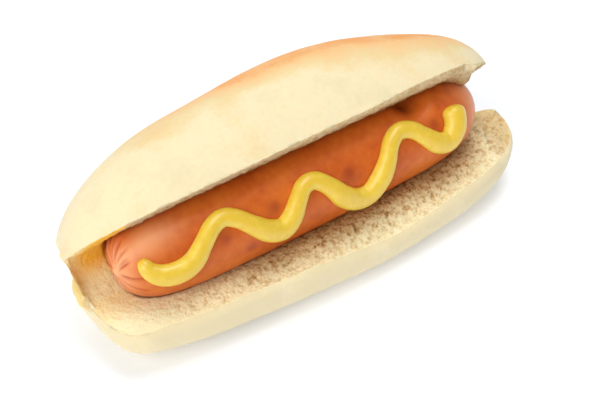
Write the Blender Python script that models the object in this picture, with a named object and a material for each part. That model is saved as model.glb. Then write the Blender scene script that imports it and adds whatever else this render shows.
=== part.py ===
"""Hot dog: a split roll that holds a frankfurter under one wavy line of mustard.

Three solids, each its own object: the roll, whose two halves are one piece along the uncut
hinge at the back, the sausage that lies in the cut, and the bead of mustard on the sausage.

+X runs along the roll, the cut opens towards -Y, +Z is up, and the origin is under the
middle of the roll's box, on the surface that it rests on. Sizes are in millimetres and
become metres when a mesh is made.
"""

import math

import bmesh
import bpy
from mathutils import Matrix, Vector

MM = 0.001
NEAR = 1e-6                 # two places this close are one

# The roll, before its top half is opened
ROLL_LENGTH = 167.0
ROLL_WIDTH = 59.0
PLAN_FULLNESS = 3.0         # powers of the outline seen from above
PLAN_TIP = 2.75
CUT_HEIGHT = 19.8           # the cut face of the bottom half, above the table
BASE_SINK = 0.9             # how much of the bottom's round is flat on the table
BASE_FULLNESS = 3.4         # power of the bottom half's section
BASE_TIP = 3.3              # power of its side profile
DOME_HEIGHT = 32.4          # the top half, over its cut face
DOME_FULLNESS = 2.08
DOME_TIP = 2.0
DOME_DIPS = (               # where the dome is lower: place, spread and the share it is lower
    (-0.27, 0.26, 0.04),
    (0.72, 0.2, 0.045),
)
SHOULDER = 1.6              # the crust rounds in this far to the crumb's rim
SHOULDER_DEPTH = 3.5        # and from this far down
RIM_FALL = 1.4              # the crumb's rim lies this much lower than its middle
RIM_DIP = 3.4               # and this much lower again at the dip
RIM_DIP_PLACE = 0.2
RIM_DIP_SPREAD = 0.24
RIM_RUN = 9.0               # the fall's width
WAIST = 1.6                 # the bottom's front side draws in here, and lifts off the table
WAIST_LIFT = 4.0
WAIST_PLACE = -0.47
WAIST_SPREAD = 0.28
FAR_WAIST = 0.1             # the same, less, towards the +X end
FAR_LIFT = 1.6
FAR_PLACE = 0.42
FAR_SPREAD = 0.34
LIFT_REACH = 0.6            # the lift fades out towards the bottom's middle
HEEL = 4.4                  # the bottom's front side swells here, by the -X end
HEEL_PLACE = -0.97
HEEL_SPREAD = 0.12
BOW = -1.3                  # sideways lean of the two ends
BEAK_START = 0.74           # from here the top's back draws in towards a beak at the lip
BEAK_RUN = 0.2
BEAK_DRAW = 0.75
BEAK_SHORT = 1.3            # the top ends this much before the bottom
TAIL_START = 0.86           # from here the bottom's back draws in to its torn end
TAIL_RUN = 0.07
TAIL_DRAW = 0.8
LIP_HEIGHT = (0.15, 0.6, 1.1)   # torn crumb under the top's lip, growing in two steps
LIP_STARTS = (-0.4, 0.2)
LIP_RUNS = (0.5, 0.35)
LIP_END = (0.76, 0.84)
LIP_TUCK = 0.7              # how far the torn crumb leans in, against its height
LIP_LEAST = 0.35
BEAK_HOLLOW = 3.0           # the top's crumb draws up behind the beak
TONGUE = 4.5                # crumb that hangs from the top past the sausage's far end
TONGUE_PLACE = 0.81
TONGUE_SPREAD = 0.07
TIP_FADE = 14.0             # where the roll is narrower than this, rims and swells fade
TIP_CLOSE = 0.997           # the last slice at the -X tip

# The hinge and the opening
HINGE_Y = 18.0
OPENING = math.radians(50.3)
TOP_SLIP = -3.0             # the top half's shift along the roll
TOP_LIFT = 0.4
HINGE_SPREAD = 12.0         # height over which the bent back takes up the opening
BEND_SHARE = 0.45           # and the same near the tips, as a share of the dome's height
BEND_LEAST = 0.1
WEB = 2.6                   # thickness of the uncut strip
BOWL = 9.0                  # round of the corner where the cut is shallow
UNCUT_START = -0.5          # the cut is shallower towards the -X end
UNCUT_RUN = 0.3
UNCUT_Y = 8.5
TEAR = 9.0                  # length over which the strip's far end peels open
TEAR_WEB = 3.2              # thickness of the strip where it ends
FREE_CORNER = 0.8           # the cut's depth past the hinge, as a share of the half's back
FILLET = 5.0                # round of the crumb in the corner of the cut
FILLET_FADE = 24.0          # the round fades where the roll is narrower than this

# The sausage
SAUSAGE_LENGTH = 143.8
SAUSAGE_RADIUS = 15.4
SAUSAGE_TAPER = -0.25
SAUSAGE_END = 8.0           # bluntness of its ends
SAUSAGE_X = -3.5
SAUSAGE_Y = -2.9
SAUSAGE_SINK = 4.7          # depth in the crumb
SAUSAGE_BOW = Vector((0.0, 1.2, 1.3))
SAUSAGE_RISE = 1.0
KNOT_LEAN = math.radians(57.0)
KNOT_SHIFT = 5.5
PLEATS = 9
PLEAT_DEPTH = 0.075
PLEAT_START = 0.72          # where the pleats start, and the run over which they deepen
PLEAT_RUN = 0.2
FAR_PLEATS = 0.5            # the far end's pleats are this share as deep
DENTS = (                   # place along it, angle in degrees, depth, length and sweep
    (57.0, -62.0, 2.2, 7.0, 0.6),
    (43.0, 2.0, 2.3, 5.0, 0.6),
)
SEAT_GAP = 0.5              # between the sausage and the crumb
REACH = 2.8                 # the seat is cleared this far past each section

# The mustard: each turn's place along the sausage, and its angle from the top to the front
TURNS = (
    (-65.6, 54.5), (-64.4, 68.5), (-61.6, 80.0), (-57.8, 83.0), (-54.0, 80.0), (-50.4, 71.5),
    (-46.2, 58.0), (-41.8, 46.0), (-37.2, 42.0), (-33.0, 49.5), (-28.5, 64.0), (-24.0, 77.0),
    (-19.0, 83.0), (-15.0, 75.0), (-11.4, 60.0), (-7.6, 48.0), (-3.0, 48.0), (1.5, 63.0),
    (5.0, 79.0), (9.8, 92.0), (15.2, 95.0), (20.2, 82.0), (24.0, 66.0), (27.4, 49.0),
    (31.8, 40.5), (36.5, 45.0), (40.7, 59.5), (45.2, 75.0), (49.8, 80.5), (53.2, 71.0),
    (54.6, 58.5), (54.9, 46.5),
)
BEAD_RADIUS = 3.1
BEAD_LIFT = 1.1             # the bead's middle, over the sausage's skin
BEAD_GAP = 0.32
LOW_SWELL = 0.2             # thicker where it sags, and at both ends
LOW_START = 52.0
LOW_RUN = 32.0
START_SWELL = -0.2
END_SWELL = 0.42
END_REACH = 13.0
FLATNESS = 0.88             # its height against its width
END_RUN = 0.45              # each end's round goes on past the last turn by this many radii

# Mesh density
STATIONS = 44
FACE_STEPS = 12
DOME_STEPS = 14
CROWDING = 0.4
WEB_STEPS = 2 * (DOME_STEPS - FACE_STEPS)   # a slice's inside and outside have as many points
SAUSAGE_RINGS = 34
SAUSAGE_SIDES = 36
BEAD_RINGS = 84
TURN_STEPS = 8
BEAD_SIDES = 10


def smooth(t):
    """Ease from 0 to 1 as t goes from 0 to 1."""
    t = min(1.0, max(0.0, t))
    return t * t * (3.0 - 2.0 * t)


def bump(t):
    """A bell that is 1 at t = 0."""
    return math.exp(-t * t)


def round_power(value, power):
    """A signed power, which squares off a circle into a superellipse."""
    return math.copysign(abs(value) ** power, value)


def tip(u, power, root):
    """The height of a superellipse at u, from 1 in the middle to 0 at both tips."""
    return max(0.0, 1.0 - abs(u) ** power) ** (1.0 / root)


# ---------------------------------------------------------------- the sausage's form


def sausage_radius(u):
    """The sausage's radius at u, from -1 at one end to 1 at the other."""
    return (SAUSAGE_RADIUS + SAUSAGE_TAPER * u) * tip(u, SAUSAGE_END, 2.0)


def sausage_centre(u):
    """A point on the sausage's middle line."""
    middle = Vector((
        SAUSAGE_X + SAUSAGE_LENGTH / 2.0 * u,
        SAUSAGE_Y,
        CUT_HEIGHT + SAUSAGE_RADIUS - SAUSAGE_SINK + SAUSAGE_RISE * u,
    ))
    return middle + SAUSAGE_BOW * (u * u)


def around(angle):
    """The direction at an angle that goes from straight up towards the front."""
    return Vector((0.0, -math.sin(angle), math.cos(angle)))


def closing(u):
    """How far the sausage has drawn in at u: 0 along its body, 1 at its ends."""
    return min(1.0, max(0.0, 1.0 - sausage_radius(u) / SAUSAGE_RADIUS))


def ring_centre(u):
    """The middle of the skin's ring at u, which leans to the knot at the -X end."""
    lean = KNOT_SHIFT * closing(u) ** 1.5 if u < 0.0 else 0.0
    return sausage_centre(u) + around(KNOT_LEAN) * lean


def pleat_height(u):
    """How far the pleats stand out at u, as a share of the radius."""
    gathered = math.sin(math.pi * closing(u)) * smooth((abs(u) - PLEAT_START) / PLEAT_RUN)
    return gathered * (PLEAT_DEPTH if u < 0.0 else PLEAT_DEPTH * FAR_PLEATS)


def sausage_skin(u, angle):
    """A point on the sausage's skin, with its pleated ends and its dent."""
    pleat = 1.0 + pleat_height(u) * math.cos(PLEATS * angle + 2.0 * u)
    dent = 0.0
    for place, lean, depth, run, sweep in DENTS:
        across = math.remainder(angle - math.radians(lean), 2.0 * math.pi) / sweep
        dent += depth * bump((u * SAUSAGE_LENGTH / 2.0 - place) / run) * bump(across)
    dent *= 1.0 - closing(u)
    return ring_centre(u) + around(angle) * (sausage_radius(u) * pleat - dent)


def seat_radius(x):
    """The widest that the sausage is near x, with its gap, or 0 past its ends."""
    widest = 0.0
    for step in (-REACH, 0.0, REACH):
        u = (x + step - SAUSAGE_X) / (SAUSAGE_LENGTH / 2.0)
        if abs(u) < 1.0:
            widest = max(widest, sausage_radius(u))
    return widest + SEAT_GAP if widest else 0.0


def clear_sausage(point):
    """Press a crumb point out of the sausage, square to its length."""
    radius = seat_radius(point.x)
    if not radius:
        return point
    u = (point.x - SAUSAGE_X) / (SAUSAGE_LENGTH / 2.0)
    centre = ring_centre(min(1.0, max(-1.0, u)))
    out = Vector((0.0, point.y - centre.y, point.z - centre.z))
    if out.length >= radius:
        return point
    return Vector((point.x, centre.y, centre.z)) + out.normalized() * radius


# ---------------------------------------------------------------- the roll's form


class Section:
    """One slice of the roll across its length, at u from -1 to 1.

    face     the bottom half's cut face, from the front rim to the corner of the cut
    web      the corner, from the bottom face round to the top face
    lid      the top half's cut face, from its front lip to the corner
    dome     the top crust, from the lip over to the back
    base     the bottom crust, from the front rim under to the back
    joined   whether the two halves are one piece here
    """

    def __init__(self, u):
        self.u = u
        self.x = ROLL_LENGTH / 2.0 * u
        self.width = ROLL_WIDTH / 2.0 * tip(u, PLAN_FULLNESS, PLAN_TIP)
        self.past_hinge = self.x - TEAR_START
        self.joined = self.past_hinge <= NEAR
        self.uncut = smooth((UNCUT_START - u) / UNCUT_RUN)
        self.corner = min(HINGE_Y + (UNCUT_Y - HINGE_Y) * self.uncut, self.width - WEB)
        if not self.joined:
            self.corner = min(self.corner, self.back() * FREE_CORNER)
        self.face = [clear_sausage(point) for point in self.bottom_face()]
        self.lid = [clear_sausage(point) for point in self.top_face()]
        self.web = [clear_sausage(point) for point in self.corner_round()]
        self.dome = self.top_crust()
        self.base = self.bottom_crust()

    def place(self, y, z, turn):
        """A point of the slice: z is its height over the cut, turn its share of the opening."""
        angle = OPENING * turn
        reach = y - HINGE_Y
        lean = BOW * self.u ** 2 * (1.0 - turn)
        short = BEAK_SHORT * smooth((self.u - 0.8) / 0.2)
        return Vector((
            self.x + (TOP_SLIP - short) * turn,
            HINGE_Y + reach * math.cos(angle) + z * math.sin(angle) + lean,
            CUT_HEIGHT + z * math.cos(angle) - reach * math.sin(angle) + TOP_LIFT * turn,
        ))

    def tip_fade(self):
        """1 along the roll, falling to 0 at its tips."""
        return min(1.0, self.width / TIP_FADE)

    def rim_inset(self):
        """How far the crumb's rim lies inside the crust."""
        return SHOULDER * self.tip_fade()

    def rim_drop(self):
        """How far the bottom's rim lies below the middle of its cut face."""
        dip = RIM_DIP * bump((self.u - RIM_DIP_PLACE) / RIM_DIP_SPREAD)
        return (RIM_FALL + dip) * self.tip_fade()

    def torn(self):
        """The height of the torn crumb between the top's lip and its crust."""
        least, more, most = LIP_HEIGHT
        height = least + more * smooth((self.u - LIP_STARTS[0]) / LIP_RUNS[0])
        height += most * smooth((self.u - LIP_STARTS[1]) / LIP_RUNS[1])
        start, end = LIP_END
        height *= 1.0 - 0.9 * smooth((self.u - start) / (end - start))
        return height * self.tip_fade()

    def dome_top(self):
        """The top's height at its crown."""
        height = DOME_HEIGHT * tip(self.u, DOME_TIP, DOME_TIP)
        return height * (1.0 - sum(share * bump((self.u - place) / spread)
                                   for place, spread, share in DOME_DIPS))

    def lip_angle(self):
        """Where the top's crust starts, round its section."""
        height = self.dome_top()
        if height <= 0.0:
            return 0.0
        return math.asin(min(0.5, self.torn() / height) ** (DOME_FULLNESS / 2.0))

    def waist(self):
        """How much of the bottom's drawn-in waist this slice has, from 0 to 1."""
        return bump((self.u - WAIST_PLACE) / WAIST_SPREAD)

    def far_waist(self):
        """The same for the shallow waist towards the +X end."""
        return bump((self.u - FAR_PLACE) / FAR_SPREAD)

    def front(self):
        """The half width of the bottom at the front."""
        heel = HEEL * bump((self.u - HEEL_PLACE) / HEEL_SPREAD) * self.tip_fade()
        return self.width - WAIST * self.waist() - FAR_WAIST * self.far_waist() + heel

    def back(self):
        """The half width of the top at the back, where it draws in to the beak."""
        return self.width * (1.0 - BEAK_DRAW * smooth((self.u - BEAK_START) / BEAK_RUN))

    def tail(self):
        """The half width of the bottom at the back, where it draws in to its torn end."""
        return self.width * (1.0 - TAIL_DRAW * smooth((self.u - TAIL_START) / TAIL_RUN))

    def bottom_face(self):
        """The bottom cut face, from its rim to where the corner's round starts."""
        start = -self.front() + self.rim_inset()
        end = self.corner if self.joined else min(self.corner, self.tail() * FREE_CORNER)
        end = max(start, end - self.fillet())
        for step in range(FACE_STEPS + 1):
            y = start + (end - start) * step / FACE_STEPS
            fall = self.rim_drop() * smooth(1.0 - (y - start) / RIM_RUN)
            yield self.place(y, -fall, 0.0)

    def top_face(self):
        """The top cut face: the crust's edge, then the crumb from the lip to the corner's round."""
        torn = self.torn()
        edge = -self.width * math.cos(self.lip_angle()) ** (2.0 / DOME_FULLNESS)
        yield self.place(edge, torn, 1.0)
        start = min(-self.width + max(LIP_TUCK * torn, LIP_LEAST), 0.0)
        end = max(start, self.corner - self.fillet())
        behind = smooth((self.u - LIP_END[0]) / 0.12)
        for step in range(FACE_STEPS):
            y = start + (end - start) * step / (FACE_STEPS - 1)
            hollow = BEAK_HOLLOW * behind * smooth((y - start) / 5.0) * self.tip_fade()
            hanging = TONGUE * bump((self.u - TONGUE_PLACE) / TONGUE_SPREAD)
            yield self.place(y, hollow - hanging * bump((y - start - 7.0) / 5.0), 1.0)

    def fillet(self):
        """The size of the corner's round, which fades where the roll is narrow."""
        wide = min(BOWL, 0.6 * max(0.0, self.corner + self.width))
        return wide * self.uncut + FILLET * smooth(self.width / FILLET_FADE) * (1.0 - self.uncut)

    def corner_round(self):
        """The points between the two faces, a hollow round that turns flat at the tip."""
        start = max(-self.width, self.corner - self.fillet())
        low = self.place(start, 0.0, 0.0)
        high = self.place(start, 0.0, 1.0)
        deep = (self.place(self.corner, 0.0, 0.0) + self.place(self.corner, 0.0, 1.0)) / 2.0
        for step in range(1, WEB_STEPS):
            t = step / WEB_STEPS
            yield low * (1 - t) ** 2 + deep * (2 * t * (1 - t)) + high * t ** 2

    def peel(self):
        """How far the top's back edge has come away: 0 along the hinge, 1 past the tear."""
        return smooth(self.past_hinge / TEAR)

    def top_crust(self):
        """The dome, whose back bends over the hinge instead of turning with the top."""
        height = self.dome_top()
        spread = min(HINGE_SPREAD, BEND_SHARE * height + BEND_LEAST)
        points = []
        for step in range(DOME_STEPS + 1):
            angle = self.lip_angle() + (math.pi - self.lip_angle()) * step / DOME_STEPS
            side = -round_power(math.cos(angle), 2.0 / DOME_FULLNESS)
            y = side * (self.width if side < 0.0 else self.back())
            z = height * abs(math.sin(angle)) ** (2.0 / DOME_FULLNESS)
            turn = 1.0
            if side > 0.0 and y > self.corner:
                turn = max(smooth(z / spread), self.peel())
            points.append(self.place(y, z, turn))
        return points

    def bottom_crust(self):
        """The bottom crust, round at its sides and flat where it rests."""
        depth = (CUT_HEIGHT + BASE_SINK) * tip(self.u, BASE_TIP, BASE_TIP)
        points = []
        for step in range(DOME_STEPS + 1):
            angle = math.pi * crowded(step / DOME_STEPS)
            side = -round_power(math.cos(angle), 2.0 / BASE_FULLNESS)
            share = abs(math.sin(angle)) ** (2.0 / BASE_FULLNESS)
            fall = depth * share
            y = side * (self.front() if side < 0.0 else self.tail())
            if side < 0.0:
                drop = min(depth, self.rim_drop())
                from_rim = (depth - drop) * share
                fall = drop + from_rim
                rounding = max(0.0, 1.0 - from_rim / SHOULDER_DEPTH)
                y += self.rim_inset() * (1.0 - math.sqrt(1.0 - rounding * rounding))
            lift = WAIST_LIFT * self.waist() + FAR_LIFT * self.far_waist()
            fall = min(fall, CUT_HEIGHT - lift * smooth(-side / LIFT_REACH))
            points.append(self.place(y, -fall, 0.0))
        return points


def crowded(t):
    """Steps from 0 to 1 that are closer together at both ends."""
    return t - CROWDING * math.sin(2.0 * math.pi * t) / (2.0 * math.pi)


def hinge_end():
    """Where the uncut strip ends, at the +X end: the roll is just wider than the cut is deep."""
    narrow = (HINGE_Y + TEAR_WEB) / (ROLL_WIDTH / 2.0)
    u = (1.0 - narrow ** PLAN_TIP) ** (1.0 / PLAN_FULLNESS)
    return ROLL_LENGTH / 2.0 * u


TEAR_START = hinge_end()


def stations():
    """The slices' places: closer together towards the tips, with one at the hinge's end."""
    places = [math.sin(math.pi / 2.0 * (2.0 * k / STATIONS - 1.0)) for k in range(STATIONS)]
    places[0] = -TIP_CLOSE
    end = TEAR_START / (ROLL_LENGTH / 2.0)
    nearest = min(range(STATIONS), key=lambda k: abs(places[k] - end))
    places[nearest] = end
    return places


class Slice:
    """A section's points as vertices, with the shared ones made once."""

    def __init__(self, bm, section):
        def row(points):
            return [bm.verts.new(point * MM) for point in points]

        self.joined = section.joined
        self.face = row(section.face)
        self.lid = row(section.lid)
        self.base = [self.face[0]] + row(section.base[1:])
        self.dome = [self.lid[0]] + row(section.dome[1:-1])
        self.dome += [self.base[-1]] if self.joined else row(section.dome[-1:])
        self.web = [self.face[-1]]
        if self.joined:
            self.web += row(section.web)
        self.web.append(self.lid[-1])

    def halves(self):
        """The slices of the two halves as (crumb, crust) rows."""
        return (self.face, self.base), (self.lid, self.dome)


def strip(bm, first, second):
    """Join two rows of vertices, of the same length, with a strip of faces."""
    for k in range(len(first) - 1):
        bm.faces.new((first[k], second[k], second[k + 1], first[k + 1]))


def strip_to(bm, row, point):
    """Join a row of vertices to one point."""
    for k in range(len(row) - 1):
        bm.faces.new((row[k], row[k + 1], point))


def close_tip(bm, inside, outside):
    """Fill between two rows of the same length that start and end at the same vertices."""
    strip(bm, inside[1:-1], outside[1:-1])
    bm.faces.new((inside[0], inside[1], outside[1]))
    bm.faces.new((inside[-1], inside[-2], outside[-2]))


def make_roll():
    """Loft the roll: C-shaped slices along the hinge, and two closed halves past its end."""
    bm = bmesh.new()
    slices = [Slice(bm, Section(u)) for u in stations()]
    for near, far in zip(slices, slices[1:]):
        for (crumb, crust), (far_crumb, far_crust) in zip(near.halves(), far.halves()):
            strip(bm, crumb, far_crumb)
            strip(bm, crust, far_crust)
            if not far.joined:
                strip(bm, (crumb[-1], crust[-1]), (far_crumb[-1], far_crust[-1]))
        if far.joined:
            strip(bm, near.web, far.web)
        elif near.joined:
            strip_to(bm, near.web, near.base[-1])

    first = slices[0]
    inside = first.face + first.web[1:-1] + first.lid[::-1]
    outside = first.base + first.dome[-2::-1]
    close_tip(bm, inside, outside)

    end = Section(1.0)
    for (crumb, crust), point in zip(slices[-1].halves(), (end.base[0], end.dome[0])):
        loop = crumb + crust[::-1]
        strip_to(bm, loop, bm.verts.new(point * MM))
    return finish_mesh(bm, "bun")


# ---------------------------------------------------------------- the stretched forms


def finish_mesh(bm, name):
    """Turn the faces outwards and make the mesh an object."""
    bm.normal_update()
    bmesh.ops.recalc_face_normals(bm, faces=bm.faces)
    if bm.calc_volume(signed=True) < 0.0:
        bmesh.ops.reverse_faces(bm, faces=bm.faces)
    mesh = bpy.data.meshes.new(name)
    bm.to_mesh(mesh)
    bm.free()
    mesh.shade_smooth()
    return bpy.data.objects.new(name, mesh)


def stretch_sphere(name, rings, sides, place):
    """Shape a sphere: each of its points goes where place puts its ring and its angle."""
    bm = bmesh.new()
    bmesh.ops.create_uvsphere(bm, u_segments=sides, v_segments=rings, radius=1.0)
    for vert in bm.verts:
        ring = 1.0 - math.acos(min(1.0, max(-1.0, vert.co.z))) / math.pi
        vert.co = place(ring, math.atan2(vert.co.y, vert.co.x)) * MM
    return finish_mesh(bm, name)


def make_sausage():
    """Stretch a sphere into the sausage, with its rings closer together at the ends."""
    def place(ring, angle):
        u = math.sin(math.pi / 2.0 * (2.0 * ring - 1.0))
        return sausage_skin(u, angle)

    return stretch_sphere("sausage", SAUSAGE_RINGS, SAUSAGE_SIDES, place)


def turn_point(place, lean):
    """A point that the bead's middle passes, given its place and its angle in degrees."""
    u = place / (SAUSAGE_LENGTH / 2.0)
    angle = math.radians(lean)
    skin_point = sausage_centre(u) + around(angle) * sausage_radius(u)
    return skin_point + around(angle) * BEAD_LIFT


def bead_route():
    """The bead's middle line as points, the distance to each, and the swell there.

    A smooth curve runs through all the turns.
    """
    last = len(TURNS) - 1
    points = []
    leans = []
    for k in range(last * TURN_STEPS + 1):
        turn = min(last - 1, k // TURN_STEPS)
        t = k / TURN_STEPS - turn
        near = [TURNS[min(last, max(0, turn + n))] for n in (-1, 0, 1, 2)]
        place, lean = (
            p1 + 0.5 * t * (p2 - p0 + t * (2 * p0 - 5 * p1 + 4 * p2 - p3 + t * (3 * (p1 - p2) + p3 - p0)))
            for p0, p1, p2, p3 in zip(*near)
        )
        points.append(turn_point(place, lean))
        leans.append(lean)
    distances = [0.0]
    for a, b in zip(points, points[1:]):
        distances.append(distances[-1] + (b - a).length)
    swells = [
        1.0 + LOW_SWELL * smooth((lean - LOW_START) / LOW_RUN)
        + START_SWELL * smooth(1.0 - run / END_REACH)
        + END_SWELL * smooth(1.0 - (distances[-1] - run) / END_REACH)
        for lean, run in zip(leans, distances)
    ]
    return points, distances, swells


def along_route(route, distance):
    """The point, direction and swell at a distance along the bead."""
    points, distances, swells = route
    last = len(points) - 1
    k = 0
    while k < last - 1 and distances[k + 1] < distance:
        k += 1
    t = (distance - distances[k]) / (distances[k + 1] - distances[k])
    ahead = points[min(last, k + 3)] - points[max(0, k - 2)]
    swell = swells[k] + (swells[k + 1] - swells[k]) * t
    return points[k].lerp(points[k + 1], t), ahead.normalized(), swell


def clear_skin(point):
    """Lift a point of the bead off the sausage, so that it lies on it with a small gap."""
    u = (point.x - SAUSAGE_X) / (SAUSAGE_LENGTH / 2.0)
    centre = ring_centre(u)
    out = Vector((0.0, point.y - centre.y, point.z - centre.z))
    least = sausage_radius(u) * (1.0 + pleat_height(u)) + BEAD_GAP
    if out.length >= least:
        return point
    return Vector((point.x, centre.y, centre.z)) + out.normalized() * least


def make_mustard():
    """Stretch a sphere along the wavy route: round ends, a round back and a fitted underside."""
    route = bead_route()
    total = route[1][-1]
    end_run = BEAD_RADIUS * END_RUN

    def place(ring, angle):
        distance = (total + 2.0 * end_run) * ring - end_run
        from_end = end_run + min(distance, total - distance)
        roundness = math.sqrt(max(0.0, 1.0 - (1.0 - min(1.0, from_end / BEAD_RADIUS)) ** 2))
        held = min(total, max(0.0, distance))
        point, ahead, swell = along_route(route, held)
        out = point - sausage_centre((point.x - SAUSAGE_X) / (SAUSAGE_LENGTH / 2.0))
        across = ahead.cross(out).normalized()
        outward = across.cross(ahead).normalized()
        offset = across * math.cos(angle) + outward * (math.sin(angle) * FLATNESS)
        point += ahead * (distance - held) + offset * (BEAD_RADIUS * swell * roundness)
        return clear_skin(point)

    return stretch_sphere("mustard", BEAD_RINGS, BEAD_SIDES, place)


# ---------------------------------------------------------------- finish and assembly


def material(name, color, roughness):
    """A plain material in the part's own colour."""
    made = bpy.data.materials.new(name)
    made.use_nodes = True
    shader = made.node_tree.nodes["Principled BSDF"]
    shader.inputs["Base Color"].default_value = (*color, 1.0)
    shader.inputs["Roughness"].default_value = roughness
    shader.inputs["Metallic"].default_value = 0.0
    return made


def stand_on_origin(parts):
    """Move the parts together, so that the origin is under the middle of their box."""
    points = [vert.co for part in parts for vert in part.data.vertices]
    low = Vector([min(point[axis] for point in points) for axis in range(3)])
    high = Vector([max(point[axis] for point in points) for axis in range(3)])
    shift = Vector((-(low.x + high.x) / 2.0, -(low.y + high.y) / 2.0, -low.z))
    for part in parts:
        part.data.transform(Matrix.Translation(shift))


def main():
    """Build the hot dog in its own collection."""
    for obj in list(bpy.data.objects):
        bpy.data.objects.remove(obj, do_unlink=True)
    parts = [make_roll(), make_sausage(), make_mustard()]
    finishes = [
        material("baked_roll", (0.88, 0.72, 0.46), 0.75),
        material("sausage_skin", (0.55, 0.16, 0.05), 0.35),
        material("mustard_gloss", (0.86, 0.60, 0.04), 0.25),
    ]
    stand_on_origin(parts)
    collection = bpy.data.collections.new("hot_dog")
    bpy.context.scene.collection.children.link(collection)
    for part, finish in zip(parts, finishes):
        part.data.materials.append(finish)
        collection.objects.link(part)


main()
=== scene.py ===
"""Hot dog: a split roll, a frankfurter in the cut and one wavy bead of mustard on it.

Every size is in millimetres in the part's own frame: +X runs along the roll, the cut opens
towards -Y and +Z is up. Points become metres when a mesh is made, and the whole is set down
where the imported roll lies.
"""

from __future__ import annotations

import logging
import math
import random
from dataclasses import dataclass
from enum import Enum
from typing import Iterable, Iterator, Sequence

import bmesh
import bpy
from mathutils import Matrix, Vector, noise

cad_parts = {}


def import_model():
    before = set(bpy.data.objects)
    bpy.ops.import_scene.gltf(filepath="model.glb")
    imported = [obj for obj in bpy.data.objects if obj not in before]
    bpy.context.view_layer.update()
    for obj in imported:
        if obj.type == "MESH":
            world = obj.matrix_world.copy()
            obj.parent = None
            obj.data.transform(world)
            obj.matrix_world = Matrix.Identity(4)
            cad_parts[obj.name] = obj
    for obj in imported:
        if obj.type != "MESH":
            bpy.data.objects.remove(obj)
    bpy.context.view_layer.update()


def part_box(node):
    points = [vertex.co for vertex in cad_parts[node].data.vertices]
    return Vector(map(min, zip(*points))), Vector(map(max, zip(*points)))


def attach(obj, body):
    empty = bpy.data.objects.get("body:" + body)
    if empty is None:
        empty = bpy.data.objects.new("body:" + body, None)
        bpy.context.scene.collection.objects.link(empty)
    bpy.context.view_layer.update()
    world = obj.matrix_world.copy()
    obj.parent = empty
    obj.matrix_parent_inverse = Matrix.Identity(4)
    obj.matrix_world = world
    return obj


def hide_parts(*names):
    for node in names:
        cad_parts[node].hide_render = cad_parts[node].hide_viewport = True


log = logging.getLogger("hot_dog")

MM = 0.001
Colour = tuple[float, float, float, float]


# ---------------------------------------------------------------- small sums


def smooth(t: float) -> float:
    """Ease from 0 to 1 as t goes from 0 to 1."""
    t = min(1.0, max(0.0, t))
    return t * t * (3.0 - 2.0 * t)


def eased(value: float, start: float, run: float) -> float:
    """Ease from 0 at start to 1 a run further on; a run below 0 goes the other way."""
    return smooth((value - start) / run)


def bump(t: float) -> float:
    """A bell that is 1 at t = 0."""
    return math.exp(-t * t)


def mix(a: float, b: float, share: float) -> float:
    """The value between a and b at this share."""
    return a + (b - a) * share


def round_power(value: float, power: float) -> float:
    """A signed power, which squares off a circle into a superellipse."""
    return math.copysign(abs(value) ** power, value)


def tip(u: float, power: float, root: float) -> float:
    """The height of a superellipse at u, from 1 in the middle to 0 at both tips."""
    return max(0.0, 1.0 - abs(u) ** power) ** (1.0 / root)


def uneven(point: Vector, size: float, seed: float = 0.0) -> float:
    """Smooth noise from -1 to 1.

    Args:
        point: where, in millimetres.
        size: about how far apart its lumps are, in millimetres.
        seed: a number that picks another pattern.

    Returns:
        The noise there.
    """
    return noise.noise((point + Vector((seed * 31.0, seed * 17.0, seed * 7.0))) / size)


def linear(hex_colour: str) -> Colour:
    """Turn an sRGB hex colour such as "#f2dcae" to linear RGBA.

    Args:
        hex_colour: a hash and six hex digits.

    Returns:
        Linear red, green, blue and an alpha of 1.
    """
    channels = (int(hex_colour[k:k + 2], 16) / 255.0 for k in (1, 3, 5))
    red, green, blue = (
        c / 12.92 if c <= 0.04045 else ((c + 0.055) / 1.055) ** 2.4 for c in channels
    )
    return (red, green, blue, 1.0)


# ---------------------------------------------------------------- materials


class Tone(Enum):
    """The per-point values that the meshes carry for their materials, from 0 to 1."""

    BAKED = "baked"          # how browned the crust is
    PORE = "pore"            # how deep in a pore the crumb is, for its painted shade
    GOLDEN = "golden"        # thin crumb that light shines through
    GLOW = "glow"            # how deep the painted amber glow is
    CRUMB_SHADE = "soaked"        # painted shade on the crumb beside the sausage and under the top
    CRUMBLY = "crumbly"      # crumb, against 0 for crust
    PINCHED_AND_HIGHLIGHT = "pinched"      # pale skin gathered at the sausage's ends, and a painted highlight near them
    CREASE_SHADE = "crease"        # painted shade at the bottom of a crease in the skin
    SPOT_AND_SHADOW = "spot"            # darker spots in the skin, and one painted shadow
    MIDDLE_AGAINST_LIT_EDGES = "thick"          # the middle of the mustard's bead, against its thin edges, which are painted lighter for reflection and light through them


# A mix node's sockets: its share, its two colours, and the colour that comes out
SHARE, UNDER, OVER, MIXED = 0, 6, 7, 2
# and for plain values its two values, and the value that comes out
VALUE_UNDER, VALUE_OVER, VALUE_MIXED = 2, 3, 0

# Nearly all of a noise texture's values lie between these
NOISE_SPAN = {"From Min": 0.3, "From Max": 0.7}


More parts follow.
